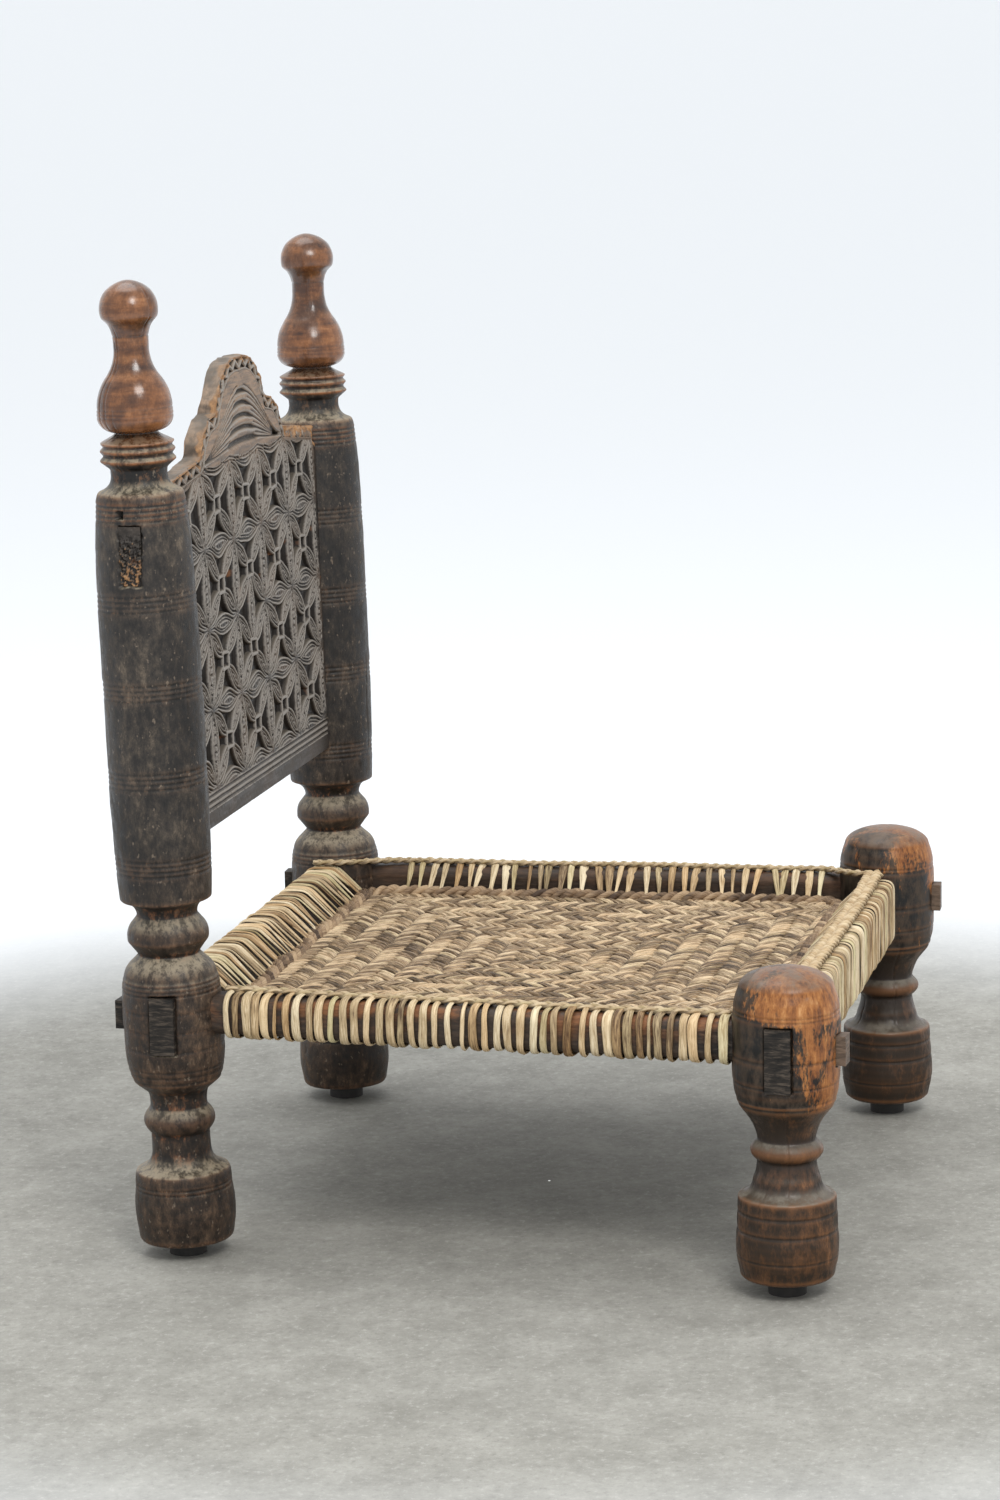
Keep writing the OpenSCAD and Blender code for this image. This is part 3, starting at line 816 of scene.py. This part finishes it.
def panel_grid(line):
    """Points all over the panel: level rows up to its shoulders, then rows that rise with the arch."""
    x = np.linspace(-PANEL_HALF, PANEL_HALF, round(2 * PANEL_HALF / PANEL_STEP) + 1)
    top = np.interp(x, line[:, 0], line[:, 1])
    low_rows = np.linspace(PANEL_LOW, SHOULDER_Z, round((SHOULDER_Z - PANEL_LOW) / PANEL_STEP) + 1)
    high_rows = np.linspace(0, 1, round((ARCH_TOP - SHOULDER_Z) / PANEL_STEP) + 1)[1:]
    rows = [np.full_like(x, z) for z in low_rows]
    rows += [SHOULDER_Z + (top - SHOULDER_Z) * t for t in high_rows]
    return np.broadcast_to(x, (len(rows), len(x))), np.array(rows)


def hewn_back(x, h, line):
    """Depth of the adze marks on the panel's back."""
    gouge = np.abs(flat_waves(x, 0.25 * h, 22, 51, 2))
    hollow = 0.7 * gouge + 0.5 * flat_waves(x, h, 120, 52, 2) + 0.5
    edge = np.minimum(edge_distance(x, h, line)[0], h - PANEL_LOW)
    return np.clip(hollow + 1.2 * smooth_step(3.0, 0, edge), 0, 4)


def worn_edge(shape, front, back, h, raw):
    """The panel's edge from front to back, wavy and worn tan along the arch."""
    a, b = rim(*h.shape)
    t = np.linspace(0, 1, 12)[:, None]
    wall = front[a, b] * (1 - t[:, :, None]) + back[a, b] * t[:, :, None]
    high = h[a, b] > 568
    wavy = waves(wall.reshape(-1, 3) * [1, 0.5, 1], 26, 53, 3).reshape(len(t), -1)
    wall[:, :, 2] += 0.5 * wavy * np.sin(math.pi * t) * high
    stain = waves(wall.reshape(-1, 3), 34, 54, 4)
    bare = raw[a, b] * np.clip(0.95 - 1.6 * t + 0.30 * wavy, 0, 1) * high
    shape.add(wall, grid_quads(len(t), len(a), closed_columns=True)[:, ::-1],
              pocket=(0.30 + 0.5 * stain).clip(0, 0.8), depth=0.15, ridge=0, raw=bare)


def back_panel(material):
    """The carved face, the hewn back and the worn edges, as one closed skin."""
    line = arch_line()
    x, h = panel_grid(line)
    depth, pocket, raw = panel_depth(x, h, line)
    around = blurred(depth, 3)
    # Where the carving stands above its neighbours: there the material paints a highlight along the ridges.
    ridge = np.clip((around - depth) / 0.45, 0, 1) * (1 - pocket)
    front = panel_place(x, PANEL_FRONT + depth, h)
    back = panel_place(x, PANEL_BACK - hewn_back(x, h, line), h)
    shape = Shape()
    shape.add(front, grid_quads(*h.shape), pocket=pocket, depth=depth - 0.65 * around, ridge=ridge, raw=raw)
    # The back is smooth enough for every fourth row and column
    rows, columns = [np.unique(np.append(np.arange(0, count, 4), count - 1)) for count in h.shape]
    coarse = np.ix_(rows, columns)
    shape.add(back[coarse], grid_quads(len(rows), len(columns))[:, ::-1],
              pocket=0, depth=0.15, ridge=0.3, raw=0.7 * raw[coarse])
    worn_edge(shape, front, back, h, raw)
    return shape.build("carved_panel", material, ["back_panel"])


def tenon_end(side, name, material):
    """Rough end of the panel's tenon, crumbled where it shows in the post."""
    h, y = np.meshgrid(np.linspace(512.4, 555.6, 88), np.linspace(-8.4, 8.4, 34), indexing="ij")
    skin = np.sqrt(36.0 ** 2 - y ** 2) - 2.6
    rough = 0.9 * flat_waves(y, 0.7 * h, 3.2, 61 + side, 3) * smooth_step(552, 540, h)
    low = smooth_step(540, 520, h)
    out = BACK_X + TENON_Z * math.tan(SPLAY) + skin + rough - 0.8 * low
    outer = points_at(side * out, BACK_Y + y + h * math.sin(LEAN), h)
    inner = outer - [side * 12, 0, 0]
    quads = grid_quads(*h.shape)
    crumbled = (0.05 + 0.42 * low + 0.3 * rough).clip(0, 1)
    shape = Shape()
    shape.add(outer, quads[:, ::side], pocket=0.55 - 0.3 * low, depth=rough < -0.1, ridge=0, raw=crumbled)
    shape.add(inner, quads[:, ::-side], pocket=0, depth=1, ridge=0, raw=0)
    a, b = rim(*h.shape)
    sides = grid_quads(2, len(a), closed_columns=True)
    shape.add([outer[a, b], inner[a, b]], sides[:, ::-side], pocket=0.5, depth=1, ridge=0, raw=0.1)
    return shape.build(name, material)


def carved_wood():
    """Charcoal carving, greyer on the raised leaves with a painted highlight along their ridges, near black
    in the pockets, raw tan on worn edges.
    """
    m = Material("carved_wood")
    grain = m.cells(30, 300, 300, detail=6.0, rough=0.65, warp=0.3)
    blotch = m.cells(22, 22, 22, detail=5.0)
    fine = m.cells(700, 700, 700, detail=3.0)
    mottle = m.cells(28, 210, 210, detail=7.0, rough=0.7, warp=0.3)
    face = m.ramp(mottle, (0.36, (0.022, 0.020, 0.018)), (0.50, (0.048, 0.042, 0.037)),
                  (0.62, (0.115, 0.102, 0.091)))
    face = m.mix(m.ranged(blotch, 0.46, 0.62, 0.0, 0.7), face, (0.112, 0.080, 0.058))
    crown = m.times(m.ranged(m.at("Z"), 0.545, 0.60), m.ranged(mottle, 0.35, 0.6, 0.35, 1.0))
    face = m.mix(m.times(crown, 0.8), face, (0.36, 0.245, 0.165))
    face = m.mix(m.ranged(grain, 0.45, 0.7, 0.0, 0.45), face, (0.060, 0.052, 0.046))
    face = m.mix(m.ranged(m.at("Z"), 0.338, 0.328, 0.0, 0.6), face, (0.040, 0.032, 0.026))
    # Painted highlight: the carving's ridges are lightened to pale grey.
    face = m.mix(m.times(m.ranged(m.value("ridge"), 0.45, 0.95), 0.8), face, (0.275, 0.250, 0.222))
    low = m.ranged(m.value("depth"), 0.25, 0.85)
    colour = m.mix(m.times(low, 0.94), face, (0.015, 0.012, 0.010))
    colour = m.mix(m.times(m.value("pocket"), 0.9), colour, (0.013, 0.010, 0.008))
    spot = m.times(m.value("pocket"), m.ranged(m.cells(38, 38, 60), 0.62, 0.68))
    colour = m.mix(m.times(spot, 0.6), colour, (0.24, 0.10, 0.04))
    tan = m.ramp(grain, (0.3, (0.12, 0.056, 0.024)), (0.6, (0.33, 0.18, 0.082)), (0.8, (0.45, 0.29, 0.16)))
    raw = m.plus(m.value("raw"), m.centred(grain, 0.8))
    colour = m.mix(m.ranged(raw, 0.35, 0.75), colour, tan)
    dust = m.times(m.ranged(m.upward(), 0.35, 0.9), 0.45)
    colour = m.mix(dust, colour, (0.17, 0.145, 0.115))
    normal = m.bump(grain, 0.35, 0.0005)
    normal = m.bump(fine, 0.2, 0.0003, normal)
    return m.finish(colour, m.ranged(mottle, 0.35, 0.65, 0.40, 0.62), normal, Specular_IOR_Level=0.22)


# ---- Plaited seat ----

STRAND_PITCH = 5.5
FLOAT = 4
STRANDS = 56
STRAND_REACH = 310
LEAST_STATIONS = 14
# How far a strand lies above or below the weave's middle, and how much more in the middle of a float
STRAND_LIFT, FLOAT_LIFT = 1.55, 0.5
WEAVE_CENTRE = np.array([16.0, -3.0])
CORD_FRONT_Y = FRONT_Y + 32.6
CORD_BACK_Y = BACK_RAIL_Y - 33
SIDE_LINE = math.cos(SKEW) * JOINT_X + math.sin(SKEW) * JOINT_Y - 26
CORNER = 20.0
STATION = 1.1
LOOP_STEP = 1.9
ROPE_STEP = 2.0
ROPE_TURNS = 60
ROPE_RISE = 2.6
PLY_OUT, PLY_RADIUS = 3.0, 3.3
# How far from the cord's middle a strip of lacing turns round inside it
LACE_GRIP = 2.3


def cord_outline(inset=0.0):
    """The loop of the cord round the weave, seen from above, moved inwards by inset."""
    points = []
    for y, start in ((CORD_FRONT_Y + CORNER, -90), (CORD_BACK_Y - CORNER, 0)):
        x = (SIDE_LINE - CORNER - math.sin(SKEW) * y) / math.cos(SKEW)
        for angle in np.radians(np.linspace(start, start + 90, 12)):
            reach = CORNER - inset
            points.append([x + reach * math.cos(angle), y + reach * math.sin(angle)])
    points = np.array(points)
    return np.concatenate([points, points[::-1] * [-1, 1]])


def inside_outline(points, outline):
    """Whether 2-D points lie in a closed convex outline that runs anticlockwise."""
    ok = np.ones(len(points), bool)
    for a, b in zip(outline, np.roll(outline, -1, 0)):
        ok &= (b[0] - a[0]) * (points[:, 1] - a[1]) - (b[1] - a[1]) * (points[:, 0] - a[0]) >= -1e-9
    return ok


def seat_sag(xy):
    """How far the weave hangs below its cord."""
    return 3.5 * np.clip(1 - (xy[:, 0] / 215) ** 2, 0, 1) * np.clip(1 - (xy[:, 1] / 205) ** 2, 0, 1)


def over(i, j):
    """Whether strand i of the first set lies over strand j of the second, in nested squares."""
    flat = np.abs(i - j) > np.abs(i + j)
    count = np.where(flat, np.abs(i - j), np.abs(i + j) + FLOAT)
    return (np.floor(count) % (2 * FLOAT)) < FLOAT


def swept(path, side, above, u, v):
    """Rings of points round a path, u sideways and v upwards from it."""
    return path[:, None] + side[:, None] * u[:, :, None] + above[:, None] * v[:, :, None]


def leaf_strand(shape, path, width, thick, rng, sides=14, tone=None, dip=0.0):
    """A bundle of split leaf swept along a path: flattened, ribbed, uneven. Its last argument is where
    painted shade darkens it, where it passes under other strands.
    """
    side, above = frames(path)
    along = np.concatenate([[0], np.cumsum(np.linalg.norm(np.diff(path, axis=0), axis=1))])
    phase = rng.uniform(0, 6.3)
    turn = 0.35 * np.sin(along / rng.uniform(25, 60) + phase)[:, None]
    grow = 1 + 0.10 * np.sin(along / rng.uniform(6, 14) + phase) + rng.normal(0, 0.03, len(path))
    a = circle(sides)
    rib = 1 + 0.13 * np.cos(6 * a + phase + 3 * turn) + 0.06 * np.cos(3 * a - 2 * phase)
    u = np.cos(a) * width / 2 * rib * grow[:, None]
    v = np.sign(np.sin(a)) * np.abs(np.sin(a)) ** 0.8 * thick / 2 * rib * grow[:, None]
    tone = rng.uniform(0, 1) if tone is None else tone
    tube(shape, swept(path, side, above, u, v), along=along, across=a + turn, tone=tone,
         seed=rng.uniform(0, 50), dip=dip)


def seat_strand(shape, family, i, xy, s, rng):
    """Strand i of one family, which rises over four of the other family and dips under four."""
    j = s / STRAND_PITCH
    crossing = np.arange(math.floor(j[0]), math.ceil(j[-1]) + 1)
    on_top = over(i, crossing) if family == 0 else ~over(crossing, i)
    lift = rounded(np.interp(j, crossing, np.where(on_top, 1.0, -1.0)), 2)
    run = rounded(np.abs(lift), 7)
    z = WEAVE_Z - seat_sag(xy) + STRAND_LIFT * lift + FLOAT_LIFT * run * np.sign(lift) + rng.normal(0, 0.15)
    count = np.arange(len(s))
    inside = smooth_step(-4, 6, np.minimum(count, count[::-1]) * STATION)
    z = z * inside + (WEAVE_Z - 1.0) * (1 - inside)
    pick = np.unique(np.append(np.arange(0, len(s), 2), len(s) - 1))
    path = np.concatenate([xy, z[:, None]], 1)[pick]
    # Painted shade darkens the strand where it dips under the other family.
    leaf_strand(shape, path, rng.uniform(4.3, 5.3), rng.uniform(2.8, 3.4), rng,
                dip=np.clip(0.55 - 0.75 * lift, 0, 1)[pick])


def plaited_seat(material):
    """Leaf strands at 45 degrees, over four and under four, turned at each quarter into nested squares."""
    rng = np.random.default_rng(71)
    outline = cord_outline(1.5)
    ways = np.array([[1, 1], [1, -1]]) / math.sqrt(2)
    for family, replaced in enumerate((["seat_weave"], [])):
        shape = Shape()
        across, along = ways[family], ways[1 - family]
        for i in range(-STRANDS, STRANDS + 1):
            wander = rng.normal(0, 0.35)
            s = np.arange(-STRAND_REACH, STRAND_REACH, STATION)
            drift = wander + 0.5 * np.sin(s / 47 + rng.uniform(0, 6.3))
            xy = WEAVE_CENTRE + np.outer(i * STRAND_PITCH + drift, across) + np.outer(s, along)
            keep = inside_outline(xy, outline)
            if keep.sum() >= LEAST_STATIONS:
                seat_strand(shape, family, i, xy[keep], s[keep], rng)
        shape.build("seat_strands_" + "ab"[family], material, replaced)


def leaf(name, pale, mid, brown, streak=1.0, brown_share=0.5, tinted=0.5):
    """Dry split leaf: fibres along each strand, its own tone from straw to brown, darker in the gaps, with
    painted shade on the parts that pass under other strands.
    """
    m = Material(name)
    seed = m.value("seed")
    fibre_place = {"X": m.times(m.value("along"), 0.035), "Y": m.times(m.value("across"), 2.0), "Z": seed}
    lengthwise = m.node("ShaderNodeCombineXYZ", fibre_place).outputs[0]
    fibre = m.noise(lengthwise, scale=2.2, detail=5.0, rough=0.7)
    patch_place = {"X": m.times(m.value("along"), 0.028), "Z": seed}
    patchy = m.noise(m.node("ShaderNodeCombineXYZ", patch_place).outputs[0], detail=2.0)
    tone = m.weighed(m.value("tone"), 0.4, m.cells(38, 38, 38, detail=3.0), 0.35)
    tone = m.maths("SUBTRACT", m.plus(tone, m.times(patchy, 0.45)), 0.08)
    tone = m.plus(tone, m.centred(fibre, 0.9 * streak))
    colour = m.ramp(tone, (0.25, pale), (0.67 - 0.25 * brown_share, mid), (1.0 - 0.25 * brown_share, brown))
    colour = m.mix(m.ranged(fibre, 0.60, 0.78, 0.0, 0.6), colour, tuple(0.35 * c for c in brown))
    # Painted shade on the parts of a strand that pass under others.
    colour = m.mix(m.times(m.value("dip"), 0.8), colour, tuple(0.5 * c for c in brown))
    own = m.node("ShaderNodeTexWhiteNoise", {"W": seed}, noise_dimensions="1D").outputs["Value"]
    tint = m.ramp(own, (0.0, (0.86, 0.92, 0.74)), (0.25, (1, 1, 1)), (0.6, (1, 0.97, 0.92)),
                  (1.0, (0.85, 0.66, 0.46)))
    colour = m.mix(tinted, colour, tint, "MULTIPLY")
    rough = m.ranged(fibre, 0.3, 0.7, 0.48, 0.72)
    return m.finish(colour, rough, m.bump(fibre, 0.6, 0.0006), Specular_IOR_Level=0.35)


# ---- The cord round the weave ----

def border_rope(material):
    """Three leaf bundles laid into one cord, in a loop round the weave."""
    rng = np.random.default_rng(81)
    outline = cord_outline()
    outline = np.concatenate([outline, outline[:1]])
    heights = np.full((len(outline), 1), WEAVE_Z + ROPE_RISE)
    path = resample(np.concatenate([outline, heights], 1), ROPE_STEP)[:-1]
    path[:, :2] += 0.8 * np.stack([waves(path, 90, 82, 2), waves(path, 80, 83, 2)], -1)
    path[:, 2] += 0.8 * waves(path, 110, 84, 2)
    side, above = frames(path, closed=True)
    station = np.arange(len(path))
    a = circle(10)
    shape = Shape()
    for ply in range(3):
        angle = TURN * (ROPE_TURNS * station / len(path) + ply / 3)[:, None]
        grow = 1 + 0.10 * waves(path, 34, 85 + ply, 2)[:, None]
        rib = PLY_RADIUS * grow * (1 + 0.09 * np.cos(4 * a + 2.0 * angle))
        u, v = PLY_OUT * np.cos(angle) + rib * np.cos(a), PLY_OUT * np.sin(angle) + rib * np.sin(a)
        tube(shape, swept(path, side, above, u, v), closed=True, along=station * ROPE_STEP, across=a + angle,
             tone=0.5 + 0.5 * waves(path, 60, 88 + ply, 2), seed=rng.uniform(0, 50))
    return shape.build("border_rope", material, ["border_cord"])


# ---- Lacing round the rails ----

def arc(x, z, radius, start, end, count):
    """Points on an arc about (x, z), anticlockwise between two angles in degrees."""
    angle = np.radians(np.linspace(start, end, count))
    return np.stack([x + radius * np.cos(angle), z + radius * np.sin(angle)], -1)


def strip_loop(half, low, top, gap, edge, slack):
    """A taut strip's closed way round a rail and into the cord, as (outwards, height) points."""
    inner, reach = half - edge, edge + slack
    return hull(np.concatenate([arc(inner, low + edge, reach, -90, 0, 7),
                                arc(inner, top - edge, reach, 0, 90, 7),
                                arc(-inner, top - edge, reach, 60, 90, 3),
                                arc(-gap, WEAVE_Z, LACE_GRIP + 0.4 * slack, 125, 250, 9),
                                arc(-inner, low + edge, reach, 240, 270, 3)]))


def hull(points):
    """The convex outline of 2-D points, anticlockwise."""
    points = points[np.lexsort((points[:, 1], points[:, 0]))]
    halves = []
    for way in (points, points[::-1]):
        kept = []
        for p in way:
            while len(kept) > 1 and np.cross(kept[-1] - kept[-2], p - kept[-2]) <= 1e-9:
                kept.pop()
            kept.append(p)
        halves.append(kept[:-1])
    return np.array(halves[0] + halves[1])


def lace_strip(shape, kind, at, width, thick, lean, slack, tone, rng):
    """One strip of leaf laid round a rail and into the cord, its far side shifted along by lean."""
    half, low, top, gap, edge = RAIL_SIZES[kind]
    middle, out, along_rail = rail_spots(kind)
    loop = strip_loop(half, low, top, gap, edge, slack)
    loop = resample(np.concatenate([loop, loop[:1]]), LOOP_STEP)[:-1]
    for _ in range(6):
        loop = (np.roll(loop, 1, 0) + 2 * loop + np.roll(loop, -1, 0)) / 4
    station = np.arange(len(loop))
    inwards = -loop[:, 0] / gap
    shift = at + lean * np.clip(inwards, -0.4, 1.1) + 0.5 * np.sin(loop[:, 1] / 9 + rng.uniform(0, 6))
    step_out = np.roll(loop, -1, 0) - np.roll(loop, 1, 0)
    step_out /= np.linalg.norm(step_out, axis=1)[:, None]
    face = np.stack([-step_out[:, 1], step_out[:, 0]], -1)
    around = (station / len(loop) * TURN)[:, None]
    pinch = 1 - 0.45 * smooth_step(0.35, 0.95, inwards[:, None])
    pinch += 0.06 * np.sin(3 * around + rng.uniform(0, 6))
    tilt = 0.16 * np.sin(around * 2 + rng.uniform(0, 6))
    a = circle(10)
    u = np.sign(np.cos(a)) * np.abs(np.cos(a)) ** 0.6 * width / 2 * pinch
    curl = 0.35 * (1 - (2 * u / width) ** 2)
    v = np.sin(a) * thick / 2 * (1 + 0.3 * np.cos(2 * a + around)) + curl + u * tilt
    flat = loop[:, None] - face[:, None] * v[:, :, None]
    xy = middle + flat[:, :, :1] * out + (shift[:, None] + u)[:, :, None] * along_rail
    tube(shape, np.concatenate([xy, flat[:, :, 1:]], -1), closed=True,
         along=station * LOOP_STEP, across=a[None], tone=tone, seed=rng.uniform(0, 50))


def lacing(kind, material, start, end, pitch, widths, seed, dark, slant):
    """All the strips on one rail, unevenly spaced from start to end along it."""
    rng = np.random.default_rng(seed)
    shape = Shape()
    at = start
    while at < end:
        width = rng.uniform(*widths)
        if rng.random() < 0.12:
            width *= 0.5
        tone = rng.uniform(0.0, 0.55) if rng.random() > dark else rng.uniform(0.6, 1.0)
        lean = rng.normal(0, slant)
        lace_strip(shape, kind, at, width, rng.uniform(1.0, 1.7), lean, rng.uniform(1.6, 2.8), tone, rng)
        at += pitch * rng.uniform(0.78, 1.25)
    return shape.build("strips_" + kind, material, ["lacing_" + kind])


# ---- Braids along the rails ----

def braid(kind, material, start, end, height, pitch, wide, seed, inward=0.0, lift=0.0, bend=(0, 0)):
    """Three strands plaited along the top of a rail, drawn inwards and up past the bends near its ends."""
    rng = np.random.default_rng(seed)
    middle, out, along_rail = rail_spots(kind)
    shape = Shape()
    s = np.arange(start, end, 1.3)
    past = smooth_step(bend[0], start + 6, s) + smooth_step(bend[1], end - 6, s) if inward else 0 * s
    line = -inward * past + 0.9 * np.sin(s / 61 + seed) - (3 if kind == "front" else 2)
    level = height + lift * past + 0.35 * np.sin(s / 29 + seed)
    for strand in range(3):
        phase = TURN * (s / pitch + strand / 3) + 0.3 * np.sin(s / 37)
        xy = middle + np.outer(line + wide * 0.3 * np.sin(phase), out) + np.outer(s, along_rail)
        z = level + wide * 0.12 * np.sin(2 * phase)
        path = np.concatenate([xy, z[:, None]], 1)
        # Painted shade darkens each strand where it passes under the others.
        leaf_strand(shape, path, wide * 0.38, 1.1 + wide * 0.15, rng, sides=10, tone=rng.uniform(0.05, 0.6),
                    dip=np.clip(0.3 - 0.7 * np.sin(2 * phase), 0, 1))
    return shape.build("plait_" + kind, material, ["braid_" + kind])


# ---- The pieces, from the posts to the braids ----

def turned_legs():
    """Both back posts and both front legs."""
    dark_wood, leg_wood = back_post_wood(), front_leg_wood()
    turned_piece("back_post_right", -1, True, dark_wood, 11)
    turned_piece("back_post_left", 1, True, dark_wood, 12)
    turned_piece("front_leg_right", -1, False, leg_wood, 13)
    turned_piece("front_leg_left", 1, False, leg_wood, 14)


def carved_back():
    """The panel and the two ends of its tenons."""
    wood = carved_wood()
    back_panel(wood)
    tenon_end(-1, "panel_tenon_right", wood)
    tenon_end(1, "panel_tenon_left", wood)


def dress(nodes, material):
    """Gives CAD nodes' own objects their material."""
    for node in nodes:
        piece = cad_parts[node]
        piece.data.materials.clear()
        piece.data.materials.append(material)


def rails_and_feet():
    """The CAD's own rails, glides and nails, in their materials."""
    dress(("front_rail", "back_rail", "side_rail_right", "side_rail_left"), rail_wood())
    glides = ("glide_back_right", "glide_back_left", "glide_front_right", "glide_front_left")
    dress(glides, glide_rubber())
    dress(("glide_nails",), nail_steel())


def seat():
    """The weave and the cord round it."""
    weave = leaf("woven_leaf", pale=(0.74, 0.575, 0.375), mid=(0.30, 0.205, 0.118),
                 brown=(0.036, 0.022, 0.013), streak=2.2, brown_share=0.6, tinted=0.3)
    plaited_seat(weave)
    border_rope(leaf("cord_leaf", pale=(0.44, 0.315, 0.195), mid=(0.235, 0.155, 0.092),
                     brown=(0.060, 0.036, 0.022), streak=1.5))


def bindings():
    """The lacing on each rail, and the braids on three of them."""
    strips = leaf("strip_leaf", pale=(0.76, 0.65, 0.46), mid=(0.44, 0.33, 0.19),
                  brown=(0.085, 0.048, 0.025), streak=1.5, brown_share=0.55, tinted=0.9)
    lacing("front", strips, -196, 204, pitch=6.4, widths=(3.6, 6.4), seed=91, dark=0.25, slant=2.6)
    lacing("back", strips, -196, 190, pitch=7.0, widths=(3.8, 6.8), seed=92, dark=0.25, slant=3.6)
    lacing("right", strips, -190, 187, pitch=8.7, widths=(4.2, 7.0), seed=93, dark=0.2, slant=1.6)
    lacing("left", strips, -181, 174, pitch=9.6, widths=(4.5, 7.5), seed=94, dark=0.4, slant=2.6)
    plaits = leaf("braid_leaf", pale=(0.66, 0.54, 0.36), mid=(0.42, 0.31, 0.18),
                  brown=(0.10, 0.06, 0.032), streak=1.3)
    braid("front", plaits, -208, 212, height=210.9, pitch=26, wide=16, seed=95)
    braid("right", plaits, -192, 192, height=205.1, pitch=34, wide=9.5, seed=96)
    braid("left", plaits, -222, 243, height=205.3, pitch=26, wide=9.5, seed=97,
          inward=44, lift=6.0, bend=(-180, 176))


# ---- Camera, floor and light, in metres ----

def camera():
    """The photograph's viewing angle: from the sitter's right, a little above and in front."""
    data = bpy.data.cameras.new("camera")
    data.lens, data.sensor_width = 107.04, 36
    data.clip_end = 300
    made = new_object("camera", data)
    made.location = (-3.3367, -0.7416, 0.9756)
    azimuth, pitch, roll = 1.3424, 0.1816, -0.0174
    level = Matrix.Rotation(-azimuth, 3, "Z") @ Matrix.Rotation(math.pi / 2 - pitch, 3, "X")
    made.rotation_mode = "QUATERNION"
    made.rotation_quaternion = (level @ Matrix.Rotation(roll, 3, "Z")).to_quaternion()
    bpy.context.scene.camera = made


def floor_grey():
    """Worn concrete near the chair, fading to near white where the photo's wall begins."""
    m = Material("floor")
    away = m.node("ShaderNodeVectorMath", {0: m.place}, operation="LENGTH").outputs["Value"]
    cloud = m.cells(14, 14, 14, detail=12.0, rough=0.82)
    grey = m.ramp(cloud, (0.38, (0.235, 0.230, 0.205)), (0.62, (0.350, 0.344, 0.312)))
    grain = m.cells(420, 420, 420, detail=2.0)
    speckle = m.cells(140, 140, 140, detail=6.0, rough=0.8)
    grey = m.mix(m.ranged(speckle, 0.52, 0.66, 0.0, 0.45), grey, (0.16, 0.155, 0.14))
    grey = m.mix(m.ranged(speckle, 0.46, 0.36, 0.0, 0.45), grey, (0.50, 0.49, 0.46))
    colour = m.mix(m.ranged(away, 0.62, 1.20), grey, (0.86, 0.89, 0.92))
    return m.finish(colour, 0.75, m.bump(grain, 0.25, 0.0006))


def floor():
    """A plain floor, a wide disc of rings."""
    rings, sides = np.array([0.001, 0.5, 1, 2, 4, 8, 20, 60, 180]), 96
    r, a = np.meshgrid(rings, circle(sides), indexing="ij")
    points = points_at(r * np.cos(a), r * np.sin(a), 0.0).reshape(-1, 3)
    faces = grid_quads(len(rings), sides, closed_columns=True)[:, ::-1]
    mesh = bpy.data.meshes.new("floor")
    mesh.from_pydata(points.tolist(), [], faces.tolist())
    mesh.materials.append(floor_grey())
    new_object("floor", mesh)


def lamp(name, place, target, size, power, colour):
    """A round soft light that faces a target."""
    data = bpy.data.lights.new(name, "AREA")
    data.shape, data.size, data.energy, data.color = "DISK", size, power, colour
    made = new_object(name, data)
    made.location = place
    made.rotation_mode = "QUATERNION"
    made.rotation_quaternion = (Vector(target) - Vector(place)).to_track_quat("-Z", "Y")


def studio():
    """An even white room with two soft lights."""
    world = bpy.data.worlds.new("studio")
    world.use_nodes = True
    sky = world.node_tree.nodes["Background"]
    sky.inputs["Color"].default_value = (0.975, 0.988, 1.0, 1)
    sky.inputs["Strength"].default_value = 1.02
    bpy.context.scene.world = world
    lamp("key", (-2.2, -1.2, 2.6), (0, 0, 0.3), 1.2, 54, (1.0, 0.98, 0.95))
    lamp("top", (0.4, 0.6, 3.0), (0, 0, 0.2), 2.0, 26, (0.98, 0.99, 1.0))
    bpy.context.scene.view_settings.view_transform = "Standard"


turned_legs()
carved_back()
rails_and_feet()
seat()
bindings()
camera()
floor()
studio()
